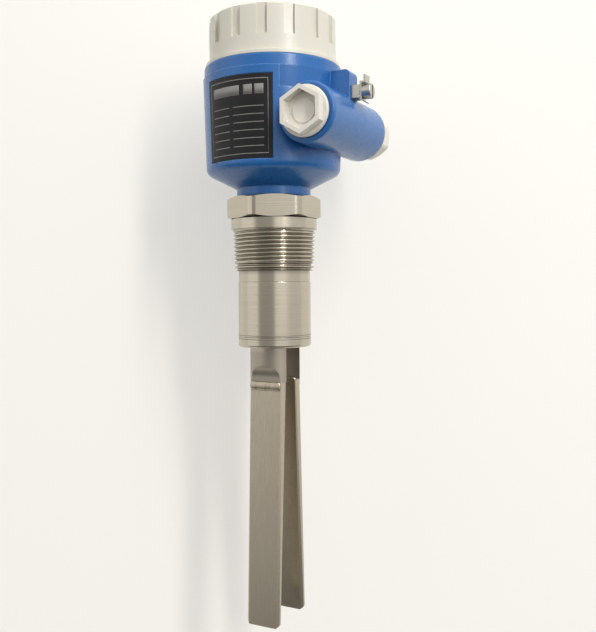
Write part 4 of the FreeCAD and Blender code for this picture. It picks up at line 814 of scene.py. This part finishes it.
def slide_down(shell, height, new_height):
    """Slide the seat's or the plate's points at a height down the wall's slope, and count them."""
    points = [vertex for vertex in shell.verts if at_plate(vertex, height)]
    for vertex in points:
        depth = wall_radius(height) - radius_of(vertex)
        set_radius(vertex, wall_radius(new_height) - depth)
        vertex.co.z = new_height
    return len(points)


casting_shell = copy_of_solid("housing")
bmesh.ops.dissolve_limit(casting_shell, angle_limit=FLAT_ANGLE, verts=casting_shell.verts,
                         edges=casting_shell.edges)
panel_points = [vertex for vertex in casting_shell.verts if on_panel(vertex)]
for vertex in panel_points:
    share = (vertex.co.z - PANEL_FOOT) / (WALL_TOP - PANEL_FOOT)
    set_radius(vertex, PANEL_FACE_FOOT + share * (PANEL_FACE_TOP - PANEL_FACE_FOOT))
seat_points = slide_down(casting_shell, plate_low.z - SEAT_ROOM, PLATE_FOOT - SEAT_ROOM)
print("points of the panel set back:", len(panel_points), "of the seat lowered:", seat_points)
casting = new_piece("cast_housing", casting_shell, "blue_coat", "head")
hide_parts("housing")
round_edges(casting, CAST_EDGE)

# %% Lower the plate with its seat
PLATE_EDGE = 0.08 * MM
plate_shell = copy_of_solid("nameplate")
plate_points = slide_down(plate_shell, plate_low.z, PLATE_FOOT)
plate = new_piece("printed_plate", plate_shell, "black_plate", "head")
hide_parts("nameplate")
round_edges(plate, PLATE_EDGE)
print("points of the plate lowered:", plate_points)

# %% [markdown]
# ## Welds
# Each blade is welded to its stub with a short bead across the outer face and a fillet on the inner ledge. A
# weld bead is a row of small frozen pools. A bump on a plain ridge would leave its outline straight, so the
# swept section itself swells and shrinks along the seam. The fork head's own weld to the neck tube was ground
# flush, leaving two fine grooves, and two thin rings in a dark finish paint the shade in them.

# %% Shape of a weld bead
BEAD_HALF_LENGTH = 10.2 * MM
BEAD_STEPS = 90
BEAD_SIDES = 12
BEAD_POOLS = 9
POOL_RISE = 0.035
PLAIN_SIZE = 0.94
LEAST_SIZE = 0.02
END_SHARE = 0.06
# Rise, rate and start of the slow waves that make the pools uneven.
LUMPS = ((0.04, 17.0, 0.0), (0.02, 41.0, 1.0))


def bead_size(along):
    """A bead's size at a share of its length: overlapping pools, tapered at both ends."""
    pool = abs(math.sin(math.pi * BEAD_POOLS * along))
    lump = sum(rise * math.sin(rate * along + start) for rise, rate, start in LUMPS)
    ends = min(min(along, 1.0 - along) / END_SHARE, 1.0)
    return max((PLAIN_SIZE + POOL_RISE * pool + lump) * math.sqrt(ends), LEAST_SIZE)


def sweep_bead(shell, centre, outward, half_height, proud):
    """Sweep an ellipse along X; its inner half is sunk in the piece."""
    loops = []
    for step in range(BEAD_STEPS + 1):
        along = step / BEAD_STEPS
        middle = centre + Vector((BEAD_HALF_LENGTH * (2.0 * along - 1.0), 0.0, 0.0))
        loop = []
        for side in range(BEAD_SIDES):
            angle = math.tau * side / BEAD_SIDES
            across = outward * math.cos(angle) * proud + up * math.sin(angle) * half_height
            loop.append(shell.verts.new(middle + across * bead_size(along)))
        loops.append(loop)
    skin(shell, loops)
    close_ends(shell, loops)


print("pools in a bead:", BEAD_POOLS)

# %% Weld beads at the blades' roots
BLADE_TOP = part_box("front_blade")[1].z
STUB_FLAT = 11.5 * MM
LEDGE = 6.0 * MM
BEADS = (
    {"out": STUB_FLAT + 0.25 * MM, "height": BLADE_TOP - 2.4 * MM, "facing": 1.0,
     "half_height": 2.7 * MM, "proud": 1.1 * MM},
    {"out": LEDGE + 1.6 * MM, "height": BLADE_TOP + 0.1 * MM, "facing": -1.0,
     "half_height": 1.3 * MM, "proud": 1.3 * MM},
)
for label, side in (("front", -1.0), ("rear", 1.0)):
    bead_shell = bmesh.new()
    outward = Vector((0.0, side, 0.0))
    for bead in BEADS:
        centre = outward * bead["out"] + up * bead["height"]
        sweep_bead(bead_shell, centre, outward * bead["facing"], bead["half_height"], bead["proud"])
    bmesh.ops.recalc_face_normals(bead_shell, faces=bead_shell.faces)
    beads = new_piece(label + "_weld_bead", bead_shell, "weld_steel", "process")
    print(beads.name, "faces:", len(beads.data.polygons))

# %% Painted shade of two fine grooves between tube and fork head
TUBE_LOW, TUBE_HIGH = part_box("neck_tube")
SEAM_PROUD = 0.02 * MM
SEAM_DEPTH = 0.2 * MM
SEAM_APART = 2.1 * MM
SEAM_WIDTH = 0.32 * MM
SEAM_COLUMNS = 180


def add_ring(shell, radius, depth, foot, top):
    """A closed ring of rectangular section about the main axis."""
    loops = []
    for column in range(SEAM_COLUMNS):
        angle = math.tau * column / SEAM_COLUMNS
        loop = []
        for reach, height in ((radius - depth, foot), (radius, foot), (radius, top), (radius - depth, top)):
            loop.append(shell.verts.new((reach * math.cos(angle), reach * math.sin(angle), height)))
        loops.append(loop)
    skin(shell, loops + loops[:1])


groove_shade_shell = bmesh.new()
for side in (-0.5, 0.5):
    foot = TUBE_LOW.z + side * SEAM_APART - SEAM_WIDTH / 2
    add_ring(groove_shade_shell, TUBE_HIGH.x + SEAM_PROUD, SEAM_DEPTH, foot, foot + SEAM_WIDTH)
bmesh.ops.recalc_face_normals(groove_shade_shell, faces=groove_shade_shell.faces)
groove_shade_rings = new_piece("neck_groove_shade", groove_shade_shell, "groove_shade_steel", "process")
print(groove_shade_rings.name, "faces:", len(groove_shade_rings.data.polygons))

# %% [markdown]
# ## The plate's design
# The black plate carries a plain printed design of its own: a thin frame, a row of fields and two columns of
# rules. Each mark is a thin strip that follows the plate's curve, a few hundredths of a millimetre proud,
# because printed ink is a layer and not a colour in the plate.

# %% A strip of ink on the plate
PLATE_FIRST = math.radians(-33.0)
PLATE_LAST = math.radians(28.0)
INK = 0.03 * MM
MARK_STEP = math.radians(1.5)
MARK_LEAST_STEPS = 2


def add_mark(shell, left, right, low, high):
    """A strip of ink between shares of the plate's width and height."""
    first = PLATE_FIRST + left * (PLATE_LAST - PLATE_FIRST)
    last = PLATE_FIRST + right * (PLATE_LAST - PLATE_FIRST)
    foot = PLATE_FOOT + low * (plate_high.z - PLATE_FOOT)
    top = PLATE_FOOT + high * (plate_high.z - PLATE_FOOT)
    count = max(MARK_LEAST_STEPS, int((last - first) / MARK_STEP) + 1)
    loops = []
    for step in range(count + 1):
        turn = first + (last - first) * step / count
        loop = []
        for height, depth in ((foot, -INK), (foot, INK), (top, INK), (top, -INK)):
            radius = wall_radius(height) + depth
            loop.append(shell.verts.new((radius * math.sin(turn), -radius * math.cos(turn), height)))
        loops.append(loop)
    skin(shell, loops)
    close_ends(shell, loops)


print("plate from", round(math.degrees(PLATE_FIRST)), "to", round(math.degrees(PLATE_LAST)), "degrees")

# %% Print the frame, the fields and the rules
LINE_ACROSS = 0.007
LINE_UP = 0.010
FRAME_LOW = 0.05
FRAME_HIGH = 0.95
FRAME_BARS = (
    (FRAME_LOW, FRAME_HIGH, FRAME_LOW, FRAME_LOW + LINE_UP),
    (FRAME_LOW, FRAME_HIGH, FRAME_HIGH - LINE_UP, FRAME_HIGH),
    (FRAME_LOW, FRAME_LOW + LINE_ACROSS, FRAME_LOW + LINE_UP, FRAME_HIGH - LINE_UP),
    (FRAME_HIGH - LINE_ACROSS, FRAME_HIGH, FRAME_LOW + LINE_UP, FRAME_HIGH - LINE_UP),
)
FIELDS = ((0.11, 0.56), (0.62, 0.74), (0.77, 0.89))
FIELD_LOW = 0.76
FIELD_HIGH = 0.88
RULES = ((0.11, 0.40), (0.46, 0.89))
RULE_COUNT = 6
RULE_PITCH = 0.095
RULE_FIRST = 0.14

marks_shell = bmesh.new()
for left, right, low, high in FRAME_BARS:
    add_mark(marks_shell, left, right, low, high)
for left, right in FIELDS:
    add_mark(marks_shell, left, right, FIELD_LOW, FIELD_HIGH)
for index in range(RULE_COUNT):
    height = RULE_FIRST + index * RULE_PITCH
    for left, right in RULES:
        add_mark(marks_shell, left, right, height, height + LINE_UP)
bmesh.ops.recalc_face_normals(marks_shell, faces=marks_shell.faces)
marks = new_piece("plate_marks", marks_shell, "plate_print", "head")
print(marks.name, "faces:", len(marks.data.polygons))

# %% [markdown]
# ## The pale surface behind the switch
# The switch is seen against a plain white surface that catches its soft shadow. A wall and a floor would meet
# in a line, so one sheet stands behind the switch and sweeps forward into a short floor below. The camera and
# mirror rays see a part of plain white in it, so it stays pale without more light on the switch. Seen from
# behind, the sheet is clear, so that the other views aren't blocked.

# %% Finish of the backdrop
SHADOW_KEPT = 0.58
WHITE = (1.0, 0.99, 0.96, 1.0)
PAPER = (0.94, 0.918, 0.865)
PAPER_SHADE = (0.92, 0.895, 0.84)
PAPER_ROUGHNESS = 0.9
PAPER_SPECULAR = 0.1
PAPER_TONE_SCALE = 3.0
PAPER_TONE_AMOUNT = 0.6
backdrop_paper, tree, shader = new_finish("backdrop_paper", PAPER, PAPER_ROUGHNESS, specular=PAPER_SPECULAR)
paper_tone = place_group(tree, tone_group, Color=opaque(PAPER), Second_Color=opaque(PAPER_SHADE),
                         Scale=PAPER_TONE_SCALE, Amount=PAPER_TONE_AMOUNT)
feed(tree, shader.inputs["Base Color"], paper_tone["Color"])
glow = add_node(tree, "ShaderNodeEmission", Color=WHITE, Strength=1.0)
rays = add_node(tree, "ShaderNodeLightPath").outputs
seen = calculate(tree, "MAXIMUM", rays["Is Camera Ray"], rays["Is Glossy Ray"])
seen_or_through = calculate(tree, "MAXIMUM", seen, rays["Is Transmission Ray"])
white_share = calculate(tree, "MULTIPLY", seen_or_through, 1.0 - SHADOW_KEPT)
front = mix_shaders(tree, white_share, shader.outputs["BSDF"], glow.outputs["Emission"])
side_seen = add_node(tree, "ShaderNodeNewGeometry")
clear = add_node(tree, "ShaderNodeBsdfTransparent")
two_sided = mix_shaders(tree, side_seen.outputs["Backfacing"], front, clear.outputs["BSDF"])
feed(tree, tree.nodes["Material Output"].inputs["Surface"], two_sided)
print("backdrop finish:", backdrop_paper.name)

# %% Build the backdrop
BACKDROP_BEHIND = 0.078
BACKDROP_TOP = 0.80
BACKDROP_FLOOR = -1.20
BACKDROP_FRONT = 0.30
BACKDROP_HALF_WIDTH = 1.3
BACKDROP_BEND = 0.16
BEND_STEPS = 12


def backdrop_line():
    """Points of the sheet from its top down to the floor's front edge, as distance behind and height."""
    points = [(BACKDROP_BEHIND, BACKDROP_TOP)]
    for step in range(BEND_STEPS + 1):
        angle = math.pi / 2 * step / BEND_STEPS
        behind = BACKDROP_BEHIND - BACKDROP_BEND * (1.0 - math.cos(angle))
        height = BACKDROP_FLOOR + BACKDROP_BEND * (1.0 - math.sin(angle))
        points.append((behind, height))
    points.append((-BACKDROP_FRONT, BACKDROP_FLOOR))
    return points


sheet_shell = bmesh.new()
sides = []
for reach in (-BACKDROP_HALF_WIDTH, BACKDROP_HALF_WIDTH):
    line = []
    for behind, height in backdrop_line():
        line.append(sheet_shell.verts.new(to_right * reach - to_camera * behind + up * height))
    sides.append(line)
left, right = sides
for index in range(len(left) - 1):
    sheet_shell.faces.new((left[index], left[index + 1], right[index + 1], right[index]))
backdrop = new_object("backdrop", sheet_shell, backdrop_paper)
print("backdrop faces:", len(backdrop.data.polygons))

# %% [markdown]
# ## Light
# The brightest light in the photograph comes from the right of the camera and makes a narrow line on every
# round piece. The rest is pale, with a darker part that shows in the steel left of the middle. The right
# side and the part overhead are a little dimmer, and little light comes from below. A picture of a room
# could light the switch too, but it would be one more file, so a tall lamp stands for a window, a square one
# for the ceiling, and the world's light depends on its direction.

# %% Set the two lamps
LIGHT_COLOUR = (1.0, 0.985, 0.95)
LAMPS = {
    "window_light": {
        "turn": 30.0, "distance": 1.1, "above": 0.80, "width": 0.14, "height": 1.20, "power": 12.0},
    "ceiling_light": {
        "turn": 10.0, "distance": 0.25, "above": 0.95, "width": 0.60, "height": 0.60, "power": 0.8},
}


def level_direction(turn):
    """The level direction at an angle in degrees to the right of the camera."""
    angle = math.radians(turn)
    return to_right * math.sin(angle) + to_camera * math.cos(angle)


def soft_lamp(name, turn, distance, above, width, height, power):
    """An area lamp, placed by its angle to the right of the camera and aimed at the frame's origin."""
    data = bpy.data.lights.new(name, "AREA")
    data.shape = "RECTANGLE"
    data.size = width
    data.size_y = height
    data.energy = power
    data.color = LIGHT_COLOUR
    lamp = bpy.data.objects.new(name, data)
    scene.collection.objects.link(lamp)
    lamp.location = level_direction(turn) * distance + up * above
    lamp.rotation_euler = lamp.location.to_track_quat("Z", "Y").to_euler()


for name, values in LAMPS.items():
    soft_lamp(name, **values)
print("lamps:", list(LAMPS))

# %% Light of the room
ROOM_LIGHT = 1.09
# Light from below grows from this share to the whole between two heights of its direction.
LEAST_LIGHT = 0.06
LEAST_LIGHT_HEIGHT = -0.55
FULL_LIGHT_HEIGHT = 0.02
# A dimmer part of the room falls to its share of the light between two angles from its middle.
DARK_PARTS = (
    {"towards": level_direction(-24.5), "outer": 31.0, "inner": 22.0, "share": 0.42},
    {"towards": level_direction(78.0), "outer": 46.0, "inner": 20.0, "share": 0.78},
    {"towards": up, "outer": 70.0, "inner": 20.0, "share": 0.65},
)


def soft_step(tree, value, from_low, from_high, to_low, to_high):
    """A smooth step of the room's light between two values."""
    node = add_node(tree, "ShaderNodeMapRange", {"interpolation_type": "SMOOTHSTEP"}, Value=value,
                    From_Min=from_low, From_Max=from_high, To_Min=to_low, To_Max=to_high)
    return node.outputs["Result"]


world = bpy.data.worlds.new("room")
scene.world = world
world.use_nodes = True
tree = world.node_tree
direction = add_node(tree, "ShaderNodeTexCoord").outputs["Generated"]
height = add_node(tree, "ShaderNodeSeparateXYZ", Vector=direction).outputs["Z"]
light = soft_step(tree, height, LEAST_LIGHT_HEIGHT, FULL_LIGHT_HEIGHT, LEAST_LIGHT, 1.0)
for part in DARK_PARTS:
    facing = combine_vectors(tree, "DOT_PRODUCT", "Value", direction, part["towards"])
    outer = math.cos(math.radians(part["outer"]))
    inner = math.cos(math.radians(part["inner"]))
    dimmed = soft_step(tree, facing, outer, inner, 1.0, part["share"])
    light = calculate(tree, "MULTIPLY", light, dimmed)
room = tree.nodes["Background"]
room.inputs["Color"].default_value = opaque(LIGHT_COLOUR)
feed(tree, room.inputs["Strength"], calculate(tree, "MULTIPLY", light, ROOM_LIGHT))
white = add_node(tree, "ShaderNodeBackground", Color=WHITE, Strength=1.0)
rays = add_node(tree, "ShaderNodeLightPath").outputs
shown = mix_shaders(tree, rays["Is Camera Ray"], room.outputs["Background"], white.outputs["Background"])
feed(tree, tree.nodes["World Output"].inputs["Surface"], shown)
print("world:", world.name, "dimmer parts:", len(DARK_PARTS))
